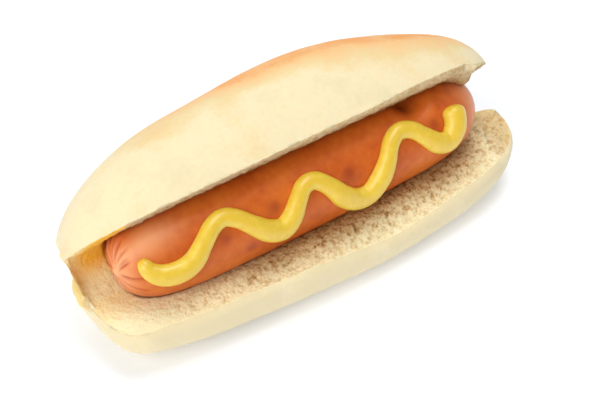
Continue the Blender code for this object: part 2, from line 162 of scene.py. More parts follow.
class NodeMaker:
    """A material's node tree, with one way to add to it."""

    def __init__(self, name: str) -> None:
        """Start an empty material.

        Args:
            name: the material's name.
        """
        self.material = bpy.data.materials.new(name)
        self.material.use_nodes = True
        self.tree = self.material.node_tree
        self.tree.nodes.clear()

    def add(self, kind: str, settings: dict | None = None,
            links: dict | None = None) -> bpy.types.Node:
        """Add a node.

        Args:
            kind: the node's type name.
            settings: the node's own settings by name, its inputs' values by socket name or
                number, and under "stops" a colour ramp's places and hex colours, in order.
            links: sockets to join to its inputs, by socket name or number.

        Returns:
            The node.
        """
        node = self.tree.nodes.new(kind)
        for key, value in (settings or {}).items():
            if key == "stops":
                elements = node.color_ramp.elements
                while len(elements) < len(value):
                    elements.new(0.5)
                for element, (place, colour) in zip(elements, value):
                    element.position = place
                    element.color = linear(colour)
            elif isinstance(key, int) or key in node.inputs:
                node.inputs[key].default_value = value
            else:
                setattr(node, key, value)
        for key, socket in (links or {}).items():
            self.tree.links.new(socket, node.inputs[key])
        return node

    def finish(self, shader: bpy.types.Node) -> bpy.types.Material:
        """Put the shader on the material's surface and give the material."""
        self.add("ShaderNodeOutputMaterial", links={"Surface": shader.outputs["BSDF"]})
        return self.material


def repeats(size_mm: float) -> float:
    """A pattern's scale, from the size of its features in millimetres."""
    return 1.0 / (size_mm * MM)


@dataclass(frozen=True)
class CrustFinish:
    """Baked wheat crust of a soft roll: steam-baked, so pale and matte with a faint waxy skin.

    The flour proteins brown only on the crown; the sides stay cream. The skin is thin, so a
    little light passes into the crumb below.
    """

    wall: str = "#ebddb5"        # the bottom's sides, a little darker than the top's: painted shade
    pale: str = "#f3e5be"
    cream: str = "#efd6a0"
    tan: str = "#f7c68a"
    brown: str = "#f5ab62"
    amber: str = "#f4cc86"       # torn crumb that shows outside, at both ends of the hinge
    honey: str = "#f8e0a8"
    patch_mm: float = 16.0       # blotches of browning
    patch_depth: float = 0.16    # how much they change the browning
    fleck_mm: float = 1.6        # mottling of the skin
    fleck_depth: float = 0.05
    grain_mm: float = 0.7        # the skin's fine wrinkles, drawn about twice as coarse as real
    roughness: float = 0.62
    ior: float = 1.45

    def make(self) -> bpy.types.Material:
        """Make the material.

        Returns:
            The material, with all its nodes.
        """
        m = NodeMaker("pale_baked_crust")
        place = m.add("ShaderNodeNewGeometry").outputs["Position"]
        tones = {tone: m.add("ShaderNodeAttribute", {"attribute_name": tone.value}).outputs["Fac"]
                 for tone in (Tone.BAKED, Tone.GOLDEN)}
        # The browning, broken up by blotches and by the skin's mottling
        blotch = m.add("ShaderNodeTexNoise", {
            "Scale": repeats(self.patch_mm), "Detail": 3.0, "Roughness": 0.55,
        }, {"Vector": place})
        fleck = m.add("ShaderNodeTexNoise", {
            "Scale": repeats(self.fleck_mm), "Detail": 2.0,
        }, {"Vector": place})
        shade = tones[Tone.BAKED]
        for pattern, depth in ((blotch, self.patch_depth), (fleck, self.fleck_depth)):
            change = m.add("ShaderNodeMapRange", {
                **NOISE_SPAN, "To Min": -depth, "To Max": depth,
            }, {"Value": pattern.outputs["Fac"]})
            shade = m.add("ShaderNodeMath", {"operation": "ADD"},
                          {0: shade, 1: change.outputs["Result"]}).outputs["Value"]
        skin = m.add("ShaderNodeValToRGB", {"stops": (
            (0.0, self.wall), (0.16, self.pale), (0.4, self.cream),
            (0.75, self.tan), (1.0, self.brown),
        )}, {0: shade})
        # Torn crumb with a ragged edge
        ragged = m.add("ShaderNodeMapRange", {**NOISE_SPAN, "To Min": 0.5, "To Max": 1.5},
                       {"Value": fleck.outputs["Fac"]})
        torn = m.add("ShaderNodeMath", {"operation": "MULTIPLY"},
                     {0: tones[Tone.GOLDEN], 1: ragged.outputs["Result"]})
        torn = m.add("ShaderNodeMapRange", {"From Min": 0.2, "From Max": 0.5},
                     {"Value": torn.outputs["Value"]})
        inner = m.add("ShaderNodeValToRGB", {"stops": ((0.35, self.honey), (0.7, self.amber))},
                      {0: fleck.outputs["Fac"]})
        colour = m.add("ShaderNodeMix", {"data_type": "RGBA"}, {
            SHARE: torn.outputs["Result"], UNDER: skin.outputs["Color"],
            OVER: inner.outputs["Color"],
        })
        grain = m.add("ShaderNodeTexNoise", {
            "Scale": repeats(self.grain_mm), "Detail": 4.0, "Roughness": 0.6,
        }, {"Vector": place})
        relief = m.add("ShaderNodeBump", {"Strength": 0.12, "Distance": 0.12 * MM},
                       {"Height": grain.outputs["Fac"]})
        return m.finish(m.add("ShaderNodeBsdfPrincipled", {
            "Roughness": self.roughness, "IOR": self.ior, "Specular IOR Level": 0.35,
            "Subsurface Weight": 0.25, "Subsurface Radius": (1.0, 0.62, 0.32),
            "Subsurface Scale": 2.2 * MM,
        }, {"Base Color": colour.outputs[MIXED], "Normal": relief.outputs["Normal"]}))


@dataclass(frozen=True)
class CrumbFinish:
    """Cut wheat crumb: an open foam of thin cell walls, matte and a little see-through.

    The cells' walls are nearly white; their hollows are painted a warm brown shade where little
    light gets in, and thin sheets of it where light shines through are painted a glowing amber.
    """

    wall: str = "#fef4cc"
    flesh: str = "#f2e2b4"
    hollow: str = "#d8b986"
    deep: str = "#b28f60"
    # painted glow of thin crumb that light shines through
    amber: str = "#ffc044"
    honey: str = "#fce0a0"
    # painted shade, multiplied in beside the sausage and under the top
    soaked: str = "#b49270"
    grain_mm: float = 0.55       # the cell walls' broken edges
    cell_mm: float = 0.9         # pores too small for the mesh
    clump_mm: float = 2.0        # clumps of dense and open foam
    roughness: float = 0.85
    ior: float = 1.4

    def make(self) -> bpy.types.Material:
        """Make the material.

        Returns:
            The material, with all its nodes.
        """
        m = NodeMaker("open_wheat_crumb")
        place = m.add("ShaderNodeNewGeometry").outputs["Position"]
        tones = {tone: m.add("ShaderNodeAttribute", {"attribute_name": tone.value}).outputs["Fac"]
                 for tone in (Tone.PORE, Tone.CRUMBLY, Tone.CRUMB_SHADE, Tone.GOLDEN, Tone.GLOW)}
        grain = m.add("ShaderNodeTexNoise", {"Scale": repeats(self.grain_mm), "Detail": 3.0},
                      {"Vector": place})
        rough = m.add("ShaderNodeMapRange", {**NOISE_SPAN, "To Min": -0.15, "To Max": 0.15},
                      {"Value": grain.outputs["Fac"]})
        # Small pores, only where the crumb is open
        cells = m.add("ShaderNodeTexVoronoi", {"feature": "F1", "Scale": repeats(self.cell_mm)},
                      {"Vector": place})
        small = m.add("ShaderNodeMapRange", {"From Min": 0.5, "From Max": 0.1, "To Max": 0.2},
                      {"Value": cells.outputs["Distance"]})
        small = m.add("ShaderNodeMath", {"operation": "MULTIPLY"},
                      {0: small.outputs["Result"], 1: tones[Tone.CRUMBLY]})
        # Clumps of dense and open foam: stronger where the shade is painted, weaker beside the
        # crust
        clump = m.add("ShaderNodeTexNoise", {
            "Scale": repeats(self.clump_mm), "Detail": 3.0, "Roughness": 0.65,
        }, {"Vector": place})
        clump = m.add("ShaderNodeMapRange", {
            "From Min": 0.4, "From Max": 0.64, "To Min": -0.25, "To Max": 0.55,
        }, {"Value": clump.outputs["Fac"]})
        soaked = m.add("ShaderNodeMapRange", {"To Min": 0.5, "To Max": 1.5},
                       {"Value": tones[Tone.CRUMB_SHADE]})
        openly = m.add("ShaderNodeMapRange", {"From Min": 0.1, "From Max": 0.45, "To Min": 0.35},
                       {"Value": tones[Tone.CRUMBLY]})
        clump = m.add("ShaderNodeMath", {"operation": "MULTIPLY"},
                      {0: clump.outputs["Result"], 1: soaked.outputs["Result"]})
        clump = m.add("ShaderNodeMath", {"operation": "MULTIPLY"},
                      {0: clump.outputs["Value"], 1: openly.outputs["Result"]})
        # How deep in the foam a place is gives its colour: painted shade, darker in the hollows
        depth = m.add("ShaderNodeMath", {"operation": "MULTIPLY_ADD", 1: 0.5},
                      {0: tones[Tone.PORE], 2: small.outputs["Value"]})
        for more in (rough.outputs["Result"], clump.outputs["Value"]):
            depth = m.add("ShaderNodeMath", {"operation": "ADD"},
                          {0: depth.outputs["Value"], 1: more})
        plain = m.add("ShaderNodeValToRGB", {"stops": (
            (0.0, self.wall), (0.25, self.flesh), (0.65, self.hollow), (1.0, self.deep),
        )}, {0: depth.outputs["Value"]})
        glow = m.add("ShaderNodeMath", {"operation": "ADD"},
                     {0: tones[Tone.GLOW], 1: rough.outputs["Result"]})
        glowing = m.add("ShaderNodeValToRGB", {"stops": ((0.0, self.honey), (1.0, self.amber))},
                        {0: glow.outputs["Value"]})
        colour = m.add("ShaderNodeMix", {"data_type": "RGBA"}, {
            SHARE: tones[Tone.GOLDEN], UNDER: plain.outputs["Color"],
            OVER: glowing.outputs["Color"],
        })
        # Painted shade beside the sausage and under the top
        painted_shade = m.add("ShaderNodeMix", {
            "data_type": "RGBA", "blend_type": "MULTIPLY", OVER: linear(self.soaked),
        }, {SHARE: tones[Tone.CRUMB_SHADE], UNDER: colour.outputs[MIXED]})
        height = m.add("ShaderNodeMath", {"operation": "SUBTRACT"},
                       {0: grain.outputs["Fac"], 1: small.outputs["Value"]})
        relief = m.add("ShaderNodeBump", {"Strength": 0.6, "Distance": 0.4 * MM},
                       {"Height": height.outputs["Value"]})
        return m.finish(m.add("ShaderNodeBsdfPrincipled", {
            "Roughness": self.roughness, "IOR": self.ior, "Specular IOR Level": 0.2,
            "Subsurface Weight": 0.35, "Subsurface Radius": (1.0, 0.7, 0.4),
            "Subsurface Scale": 2.4 * MM,
        }, {"Base Color": painted_shade.outputs[MIXED], "Normal": relief.outputs["Normal"]}))


@dataclass(frozen=True)
class SkinFinish:
    """Cooked frankfurter casing: a thin smoked skin, taut, moist and satin.

    Smoke makes it orange-brown; it is paler where it gathers and where a highlight is painted,
    darker in creases, where shade is painted, and in spots, one of them a painted shadow.
    """

    orange: str = "#dc7628"
    russet: str = "#cc611e"
    deep: str = "#b64e15"
    # pale gathered skin, and the painted highlight
    pinch_and_highlight: str = "#fbba8a"
    # painted shade in the creases
    crease: str = "#b53c0c"
    # darker spots, and the painted shadow in the dent
    spot: str = "#8f2f16"
    cloud_mm: float = 22.0       # slow drift of the smoke's colour
    mottle_mm: float = 3.0       # meat seen through the skin
    mottle_share: float = 0.35
    grain_mm: float = 0.8        # the casing's fine unevenness
    roughness: float = 0.4
    ior: float = 1.4

    def make(self) -> bpy.types.Material:
        """Make the material.

        Returns:
            The material, with all its nodes.
        """
        m = NodeMaker("smoked_frankfurter_casing")
        place = m.add("ShaderNodeNewGeometry").outputs["Position"]
        cloud = m.add("ShaderNodeTexNoise", {"Scale": repeats(self.cloud_mm), "Detail": 3.0},
                      {"Vector": place})
        mottle = m.add("ShaderNodeTexNoise", {"Scale": repeats(self.mottle_mm), "Detail": 3.0},
                       {"Vector": place})
        blend = m.add("ShaderNodeMix", {"data_type": "FLOAT", SHARE: self.mottle_share},
                      {VALUE_UNDER: cloud.outputs["Fac"], VALUE_OVER: mottle.outputs["Fac"]})
        colour = m.add("ShaderNodeValToRGB", {"stops": (
            (0.30, self.deep), (0.46, self.russet), (0.66, self.orange),
        )}, {0: blend.outputs[VALUE_MIXED]}).outputs["Color"]
        for tone, over in ((Tone.PINCHED_AND_HIGHLIGHT, self.pinch_and_highlight), (Tone.CREASE_SHADE, self.crease),
                           (Tone.SPOT_AND_SHADOW, self.spot)):
            share = m.add("ShaderNodeAttribute", {"attribute_name": tone.value})
            colour = m.add("ShaderNodeMix", {"data_type": "RGBA", OVER: linear(over)},
                           {SHARE: share.outputs["Fac"], UNDER: colour}).outputs[MIXED]
        grain = m.add("ShaderNodeTexNoise", {"Scale": repeats(self.grain_mm), "Detail": 2.0},
                      {"Vector": place})
        relief = m.add("ShaderNodeBump", {"Strength": 0.08, "Distance": 0.1 * MM},
                       {"Height": grain.outputs["Fac"]})
        return m.finish(m.add("ShaderNodeBsdfPrincipled", {
            "Roughness": self.roughness, "IOR": self.ior, "Specular IOR Level": 0.35,
            "Coat Weight": 0.08, "Coat Roughness": 0.25, "Coat IOR": 1.38,
            "Subsurface Weight": 0.1, "Subsurface Radius": (1.0, 0.35, 0.15),
            "Subsurface Scale": 2.0 * MM,
        }, {"Base Color": colour, "Normal": relief.outputs["Normal"]}))


@dataclass(frozen=True)
class MustardFinish:
    """Yellow table mustard: a smooth wet paste of ground seed and turmeric, squeezed on.

    It is glossy, light passes through its thin edges, and fine bran specks dull it a little. The
    edges' reflection and glow are also painted in as a lighter colour, the middle darker.
    """

    # the lightest yellow, for painted reflection and glow at the thin edges
    lit_edge: str = "#fae88a"
    yellow: str = "#efd348"
    deep: str = "#e6c22e"
    streak_mm: float = 2.4       # folds in the paste
    streak_depth: float = 0.18
    speck_mm: float = 0.5        # ground seed
    roughness: float = 0.34
    ior: float = 1.4

    def make(self) -> bpy.types.Material:
        """Make the material.

        Returns:
            The material, with all its nodes.
        """
        m = NodeMaker("yellow_mustard_paste")
        place = m.add("ShaderNodeNewGeometry").outputs["Position"]
        thick = m.add("ShaderNodeAttribute", {"attribute_name": Tone.MIDDLE_AGAINST_LIT_EDGES.value})
        streak = m.add("ShaderNodeTexNoise", {"Scale": repeats(self.streak_mm), "Detail": 2.0},
                       {"Vector": place})
        drift = m.add("ShaderNodeMapRange", {
            **NOISE_SPAN, "To Min": -self.streak_depth, "To Max": self.streak_depth,
        }, {"Value": streak.outputs["Fac"]})
        shade = m.add("ShaderNodeMath", {"operation": "ADD"},
                      {0: thick.outputs["Fac"], 1: drift.outputs["Result"]})
        colour = m.add("ShaderNodeValToRGB", {"stops": (
            (0.0, self.lit_edge), (0.55, self.yellow), (1.0, self.deep),
        )}, {0: shade.outputs["Value"]})
        speck = m.add("ShaderNodeTexNoise", {"Scale": repeats(self.speck_mm), "Detail": 1.0},
                      {"Vector": place})
        relief = m.add("ShaderNodeBump", {"Strength": 0.05, "Distance": 0.1 * MM},
                       {"Height": speck.outputs["Fac"]})
        return m.finish(m.add("ShaderNodeBsdfPrincipled", {
            "Roughness": self.roughness, "IOR": self.ior, "Specular IOR Level": 0.95,
            "Coat Weight": 0.4, "Coat Roughness": 0.38,
            "Subsurface Weight": 0.25, "Subsurface Radius": (1.0, 0.7, 0.1),
            "Subsurface Scale": 1.5 * MM,
        }, {"Base Color": colour.outputs["Color"], "Normal": relief.outputs["Normal"]}))


@dataclass(frozen=True)
class TableFinish:
    """White opal acrylic of a studio table: matte, and lit a little from below."""

    white: str = "#f4f7ff"
    glow: float = 0.16
    roughness: float = 0.9

    def make(self) -> bpy.types.Material:
        """Make the material.

        Returns:
            The material, with all its nodes.
        """
        m = NodeMaker("white_studio_table")
        return m.finish(m.add("ShaderNodeBsdfPrincipled", {
            "Base Color": linear(self.white), "Roughness": self.roughness,
            "Specular IOR Level": 0.1, "Emission Color": linear(self.white),
            "Emission Strength": self.glow,
        }))


# ---------------------------------------------------------------- meshes


def finish_mesh(bm: bmesh.types.BMesh, name: str,
                materials: Iterable[bpy.types.Material]) -> bpy.types.Object:
    """Turn the faces outwards and make the mesh a smooth object.

    Args:
        bm: the mesh in millimetres, which is used up.
        name: the object's name.
        materials: its materials, in the order of the faces' numbers.

    Returns:
        The object, linked to the scene, in metres.
    """
    bm.normal_update()
    bmesh.ops.recalc_face_normals(bm, faces=bm.faces)
    if bm.calc_volume(signed=True) < 0.0:
        bmesh.ops.reverse_faces(bm, faces=bm.faces)
    mesh = bpy.data.meshes.new(name)
    bm.to_mesh(mesh)
    bm.free()
    mesh.transform(Matrix.Scale(MM, 4))
    mesh.shade_smooth()
    for material in materials:
        mesh.materials.append(material)
    made = bpy.data.objects.new(name, mesh)
    bpy.context.scene.collection.objects.link(made)
    return made


def ball(rings: int, sides: int) -> bmesh.types.BMesh:
    """Make a unit ball of rings, ready to be stretched into a closed form.

    Args:
        rings: how many rings it has from end to end.
        sides: how many points are in a ring.

    Returns:
        The mesh.
    """
    bm = bmesh.new()
    bmesh.ops.create_uvsphere(bm, u_segments=sides, v_segments=rings, radius=1.0)
    return bm


def ring_and_angle(vert: bmesh.types.BMVert) -> tuple[float, float]:
    """Where on the unit ball a point lies: its ring, from 0 to 1, and its angle."""
    ring = 1.0 - math.acos(min(1.0, max(-1.0, vert.co.z))) / math.pi
    return ring, math.atan2(vert.co.y, vert.co.x)


def strip(bm: bmesh.types.BMesh, first: Sequence, second: Sequence) -> list:
    """Join two rows of vertices of the same length with a strip of faces.

    Args:
        bm: their mesh.
        first: one row.
        second: the other.

    Returns:
        The faces, in the rows' order.
    """
    return [bm.faces.new((first[k], second[k], second[k + 1], first[k + 1]))
            for k in range(len(first) - 1)]


# ---------------------------------------------------------------- the sausage


@dataclass
class Sausage:
    """The frankfurter in the cut, gathered into a knot at its -X end."""

    length: float = 143.8
    radius: float = 15.4
    taper: float = -0.25             # its +X end is this much thicker than its middle
    bluntness: float = 8.0           # of its ends
    x: float = -3.5                  # its middle
    y: float = -2.9
    z: float = 30.5
    bow_y: float = 1.2               # how far its ends lie back, and up
    bow_z: float = 1.3
    rise: float = 1.0                # from one end to the middle
    knot_lean: float = math.radians(57.0)    # the knot lies off the middle line, this way
    knot_shift: float = 5.5          # from the top towards the front, and by this much
    creases: int = 19                # folds that run into the knot
    crease_depth: float = 0.8
    crease_width: float = 0.5
    crease_seed: int = 11            # the same folds each time
    crease_run: float = 0.2          # each deepens over this share of the skin's drawing in
    crease_from: float = 0.02        # and none starts before this share
    crease_end: float = 1.5          # they fade this close to the knot's tip
    crease_shade_share: float = 0.8
    crease_shows: tuple[float, float] = (1.0, 5.0)   # and their painted shade fades from here
    # Shallow dents: place along it, angle in degrees, depth, length along it and sweep round it
    dents: tuple[tuple[float, float, float, float, float], ...] = (
        (57.0, -62.0, 2.2, 7.0, 0.6), (42.0, 3.0, 4.2, 4.6, 0.5), (57.5, 30.0, 0.5, 5.0, 0.3),
    )
    # Darker spots, the last one a painted shadow in the dent under the top's lip: place, angle in
    # degrees and size
    spots_and_shadow: tuple[tuple[float, float, float], ...] = (
        (-38.5, 65.7, 2.2), (-19.2, 55.6, 2.4), (10.0, 59.4, 2.6), (-30.0, 92.0, 1.8),
        (46.5, 52.0, 2.0), (27.0, 74.0, 1.6), (41.0, 5.0, 3.6),
    )
    spot_and_shadow_tone: float = 0.6
    nub: float = 1.5                 # the radius and height of the knot's pale nub
    nub_height: float = 0.9
    nub_pucker: tuple[float, float] = (1.1, 0.5)     # its puckers' size, and their share of it
    highlight_place: float = 62.5         # a painted highlight, this far before the middle
    highlight_run: float = 10.5
    highlight_angle: float = 27.0
    highlight_sweep: float = 19.0
    pale: float = 0.6                # how strong the painted highlight is there
    # How far the skin has drawn in where it pales into the knot, at the knot itself, and at
    # the +X end, where the paleness is partly a painted highlight: where each starts and how far it
    # runs
    gather: tuple[float, float] = (0.15, 0.6)
    gather_pale: float = 0.7
    knot: tuple[float, float] = (0.8, 0.1)
    knot_pale: float = 0.3
    far_gather: tuple[float, float] = (0.03, 0.3)
    far_pale_and_highlight: float = 0.45
    end_highlight: float = 0.12          # a painted highlight, a little paler, this far from the -X end
    end_highlight_run: float = 16.0
    swell: float = 0.22              # how uneven the meat makes the skin
    swell_size: float = 17.0
    rings: int = 210
    sides: int = 144

    def __post_init__(self) -> None:
        """Draw the creases' places: each one's angle, start, depth and curl."""
        draw = random.Random(self.crease_seed)
        step = 2.0 * math.pi / self.creases
        self.folds = [
            (k * step + draw.uniform(-0.3, 0.3) * step, draw.uniform(0.06, 0.42),
             draw.uniform(0.5, 1.0), draw.uniform(-0.25, 0.25))
            for k in range(self.creases)
        ]

    def radius_at(self, u: float) -> float:
        """Its radius at u, from -1 at one end to 1 at the other."""
        return (self.radius + self.taper * u) * tip(u, self.bluntness, 2.0)

    def centre(self, u: float) -> Vector:
        """A point on its middle line."""
        return Vector((
            self.x + self.length / 2.0 * u,
            self.y + self.bow_y * u * u,
            self.z + self.rise * u + self.bow_z * u * u,
        ))

    @staticmethod
    def around(angle: float) -> Vector:
        """The direction at an angle that goes from straight up towards the front."""
        return Vector((0.0, -math.sin(angle), math.cos(angle)))

    def closing(self, u: float) -> float:
        """How far it has drawn in at u: 0 along its body, 1 at its ends."""
        return min(1.0, max(0.0, 1.0 - self.radius_at(u) / self.radius))

    def ring_centre(self, u: float) -> Vector:
        """The middle of the skin's ring at u, which leans to the knot at the -X end."""
        lean = self.knot_shift * self.closing(u) ** 1.5 if u < 0.0 else 0.0
        return self.centre(u) + self.around(self.knot_lean) * lean

    def crease_at(self, u: float, angle: float) -> float:
        """How deep in a crease the skin is.

        Args:
            u: where along it, from -1 to 1.
            angle: where round it, from straight up towards the front.

        Returns:
            The depth, from 0 to 1.
        """
        closed = self.closing(u)
        if u > 0.0 or closed < self.crease_from:
            return 0.0
        radius = self.radius_at(u)
        deepest = 0.0
        for fold_angle, start, depth, curl in self.folds:
            off = math.remainder(angle - fold_angle - curl * (1.0 - closed), 2.0 * math.pi)
            groove = depth * bump(off * radius / self.crease_width)
            deepest = max(deepest, groove * eased(closed, start, self.crease_run))
        return deepest * smooth(radius / self.crease_end)

    def skin(self, u: float, angle: float) -> Vector:
        """A point on its skin.

        Args:
            u: where along it, from -1 to 1.
            angle: where round it, from straight up towards the front.

        Returns:
            The point, with its dents, creases and the knot's nub.
        """
        closed = self.closing(u)
        dent = sum(
            depth * bump((u * self.length / 2.0 - place) / run)
            * bump(math.remainder(angle - math.radians(lean), 2.0 * math.pi) / sweep)
            for place, lean, depth, run, sweep in self.dents
        ) * (1.0 - closed)
        radius = self.radius_at(u) - dent
        out = self.around(angle)
        point = self.ring_centre(u) + out * radius
        point += out * (self.swell * uneven(point, self.swell_size) * (1.0 - closed))
        crease = self.crease_at(u, angle)
        if crease:
            inward = Vector((1.0, 0.0, 0.0)) * closed - out * (1.0 - closed)
            sunk = crease * self.crease_depth * smooth(radius / self.crease_end)
            point += inward.normalized() * sunk
        if u < 0.0 and radius < 2.0 * self.nub:
            puckered = 1.0 + self.nub_pucker[1] * uneven(point, self.nub_pucker[0], 12.0)
            point.x -= self.nub_height * smooth(1.0 - radius / (2.0 * self.nub)) * puckered
        return point

    def pale_and_highlight_at(self, u: float, angle: float) -> float:
        """How pale the skin is where it is gathered, with the painted highlight near both ends
        added.

        Args:
            u: where along it, from -1 to 1.
            angle: where round it, from straight up towards the front.

        Returns:
            The share, from 0 to 1.
        """
        closed = self.closing(u)
        if u >= 0.0:
            return self.far_pale_and_highlight * eased(closed, *self.far_gather)
        gathered = self.gather_pale * eased(closed, *self.gather)
        gathered += self.knot_pale * eased(closed, *self.knot)
        # Painted highlight on the skin's top near the -X end
        highlight = bump((u * self.length / 2.0 + self.highlight_place) / self.highlight_run)
        highlight *= bump((math.degrees(angle) - self.highlight_angle) / self.highlight_sweep)
        from_end = (u + 1.0) * self.length / 2.0
        end_highlight = self.end_highlight * smooth(1.0 - from_end / self.end_highlight_run)
        return min(1.0, max(gathered, end_highlight) + self.pale * highlight)

    def spot_and_shadow_at(self, u: float, angle: float) -> float:
        """How much of a darker spot the skin is; the last spot is a painted shadow.

        Args:
            u: where along it, from -1 to 1.
            angle: where round it, from straight up towards the front.

        Returns:
            The share, from 0 to 1.
        """
        return max(
            bump((u * self.length / 2.0 - place) / size)
            * bump(math.remainder(angle - math.radians(lean), 2.0 * math.pi) * self.radius / size)
            for place, lean, size in self.spots_and_shadow
        ) * self.spot_and_shadow_tone

    def build(self, finish: SkinFinish) -> bpy.types.Object:
        """Make the sausage.

        Args:
            finish: its casing.

        Returns:
            The object.
        """
        bm = ball(self.rings, self.sides)
        pinched = bm.verts.layers.float.new(Tone.PINCHED_AND_HIGHLIGHT.value)
        crease = bm.verts.layers.float.new(Tone.CREASE_SHADE.value)
        spot = bm.verts.layers.float.new(Tone.SPOT_AND_SHADOW.value)
        for vert in bm.verts:
            ring, angle = ring_and_angle(vert)
            u = math.sin(math.pi / 2.0 * (2.0 * ring - 1.0))
            vert.co = self.skin(u, angle)
            vert[pinched] = self.pale_and_highlight_at(u, angle)
            if u < 0.0:
                # Painted shade in the creases near the knot
                shown = eased(self.radius_at(u), *self.crease_shows)
                vert[crease] = self.crease_at(u, angle) * self.crease_shade_share * shown
            vert[spot] = self.spot_and_shadow_at(u, angle)
        return finish_mesh(bm, "sausage_skin", [finish.make()])


# ---------------------------------------------------------------- the mustard


def through(t: float, p0: float, p1: float, p2: float, p3: float) -> float:
    """Pass smoothly through four values.

    Args:
        t: how far between the middle two, from 0 to 1.
        p0: the value before.
        p1: the value at t = 0.
        p2: the value at t = 1.
        p3: the value after.

    Returns:
        The value at t.
    """
    bend = 2 * p0 - 5 * p1 + 4 * p2 - p3 + t * (3 * (p1 - p2) + p3 - p0)
    return p1 + 0.5 * t * (p2 - p0 + t * bend)


@dataclass
class Mustard:
    """The bead of mustard that winds along the sausage's front."""

    sausage: Sausage
    # Each turn's place along the sausage, and its angle from the top to the front in degrees
    turns: tuple[tuple[float, float], ...] = (
        (-65.6, 54.5), (-64.4, 68.5), (-61.6, 77.5), (-57.8, 80.0), (-54.0, 78.0), (-50.4, 71.5),
        (-46.2, 58.0), (-41.8, 46.0), (-37.2, 42.0), (-33.0, 49.5), (-28.5, 64.0), (-24.0, 77.0),
        (-19.0, 83.0), (-15.0, 75.0), (-11.4, 60.0), (-7.6, 48.0), (-3.0, 48.0), (1.5, 63.0),
        (5.0, 79.0), (9.8, 92.0), (15.2, 95.0), (20.2, 82.0), (24.0, 66.0), (27.4, 49.0),
        (31.8, 40.5), (36.5, 45.0), (40.7, 59.5), (45.2, 75.0), (49.8, 80.5), (53.2, 71.0),
        (54.6, 58.5), (54.9, 46.5),
    )
    radius: float = 2.98
    low_swell: float = 0.27          # thicker where it sags, from this many degrees down
    low_start: float = 52.0
    low_run: float = 32.0
    start_swell: float = -0.2        # thinner at its start, and thicker at its end
    end_swell: float = 0.42
    end_reach: float = 13.0
    lift: float = 1.1                # the bead's middle, over the sausage's skin
    sunk: float = 0.25               # how far its foot settles into the skin's hollows
    end_run: float = 0.45            # each end's round, past the last turn, in radii
    flatness: float = 0.88           # its height against its width
    steps: int = 12
    rings: int = 420
    sides: int = 30

    def turn_point(self, place: float, lean: float) -> Vector:
        """Find a point that the bead's middle passes.

        Args:
            place: where along the sausage, in millimetres from its middle.
            lean: where round it, in degrees from the top towards the front.

        Returns:
            The point.
        """
        u = place / (self.sausage.length / 2.0)
        out = Sausage.around(math.radians(lean))
        return self.sausage.centre(u) + out * (self.sausage.radius_at(u) + self.lift)

    def route(self) -> tuple[list[Vector], list[float], list[float]]:
        """Lay out the bead.

        Returns:
            The points of its middle line, the distance along it to each, and the swell there.
        """
        last = len(self.turns) - 1
        points: list[Vector] = []
        leans: list[float] = []
        for k in range(last * self.steps + 1):
            turn = min(last - 1, k // self.steps)
            t = k / self.steps - turn
            before, a, b, after = (self.turns[min(last, max(0, turn + n))] for n in (-1, 0, 1, 2))
            place, lean = (through(t, *four) for four in zip(before, a, b, after))
            points.append(self.turn_point(place, lean))
            leans.append(lean)
        distances = [0.0]
        for a, b in zip(points, points[1:]):
            distances.append(distances[-1] + (b - a).length)
        total = distances[-1]
        swells = [
            1.0 + self.low_swell * eased(lean, self.low_start, self.low_run)
            + self.start_swell * smooth(1.0 - run / self.end_reach)
            + self.end_swell * smooth(1.0 - (total - run) / self.end_reach)
            for lean, run in zip(leans, distances)
        ]
        return points, distances, swells

    def clear_skin(self, point: Vector) -> Vector:
        """Press a point of the bead out of the sausage.

        Args:
            point: where it would be.

        Returns:
            Where it is.
        """
        s = self.sausage
        u = min(1.0, max(-1.0, (point.x - s.x) / (s.length / 2.0)))
        centre = s.ring_centre(u)
        out = Vector((0.0, point.y - centre.y, point.z - centre.z))
        least = s.radius_at(u) - self.sunk
        if out.length >= least:
            return point
        return Vector((point.x, centre.y, centre.z)) + out.normalized() * least

    def build(self, finish: MustardFinish) -> bpy.types.Object:
        """Make the bead.

        Args:
            finish: its paste.

        Returns:
            The object.
        """
        points, distances, swells = self.route()
        total = distances[-1]
        end = self.radius * self.end_run
        s = self.sausage
        bm = ball(self.rings, self.sides)
        thick = bm.verts.layers.float.new(Tone.MIDDLE_AGAINST_LIT_EDGES.value)
        for vert in bm.verts:
            ring, angle = ring_and_angle(vert)
            distance = (total + 2.0 * end) * ring - end
            from_end = end + min(distance, total - distance)
            roundness = math.sqrt(max(0.0, 1.0 - (1.0 - min(1.0, from_end / self.radius)) ** 2))
            held = min(total, max(0.0, distance))
            k = self.find(distances, held)
            t = (held - distances[k]) / (distances[k + 1] - distances[k])
            point = points[k].lerp(points[k + 1], t)
            # Its direction, evened out over a few steps
            ahead = (points[min(len(points) - 1, k + 3)] - points[max(0, k - 2)]).normalized()
            swell = mix(swells[k], swells[k + 1], t)
            out = point - s.centre((point.x - s.x) / (s.length / 2.0))
            across = ahead.cross(out).normalized()
            outward = across.cross(ahead).normalized()
            offset = across * math.cos(angle) + outward * (math.sin(angle) * self.flatness)
            point = point + ahead * (distance - held) + offset * (self.radius * swell * roundness)
            vert.co = self.clear_skin(point)
            # Painted light: the bead's edges get the lighter colour, the middle of its top the
            # darker
            vert[thick] = 0.5 + 0.5 * max(0.0, math.sin(angle))
        return finish_mesh(bm, "mustard_bead", [finish.make()])

    @staticmethod
    def find(distances: Sequence[float], distance: float) -> int:
        """Find the route's step that holds a distance.

        Args:
            distances: the distance to each of the route's points, rising.
            distance: the one to find.

        Returns:
            The step's number.
        """
        low, high = 0, len(distances) - 2
        while low < high:
            middle = (low + high) // 2
            if distances[middle + 1] < distance:
                low = middle + 1
            else:
                high = middle
        return low


# ---------------------------------------------------------------- the roll


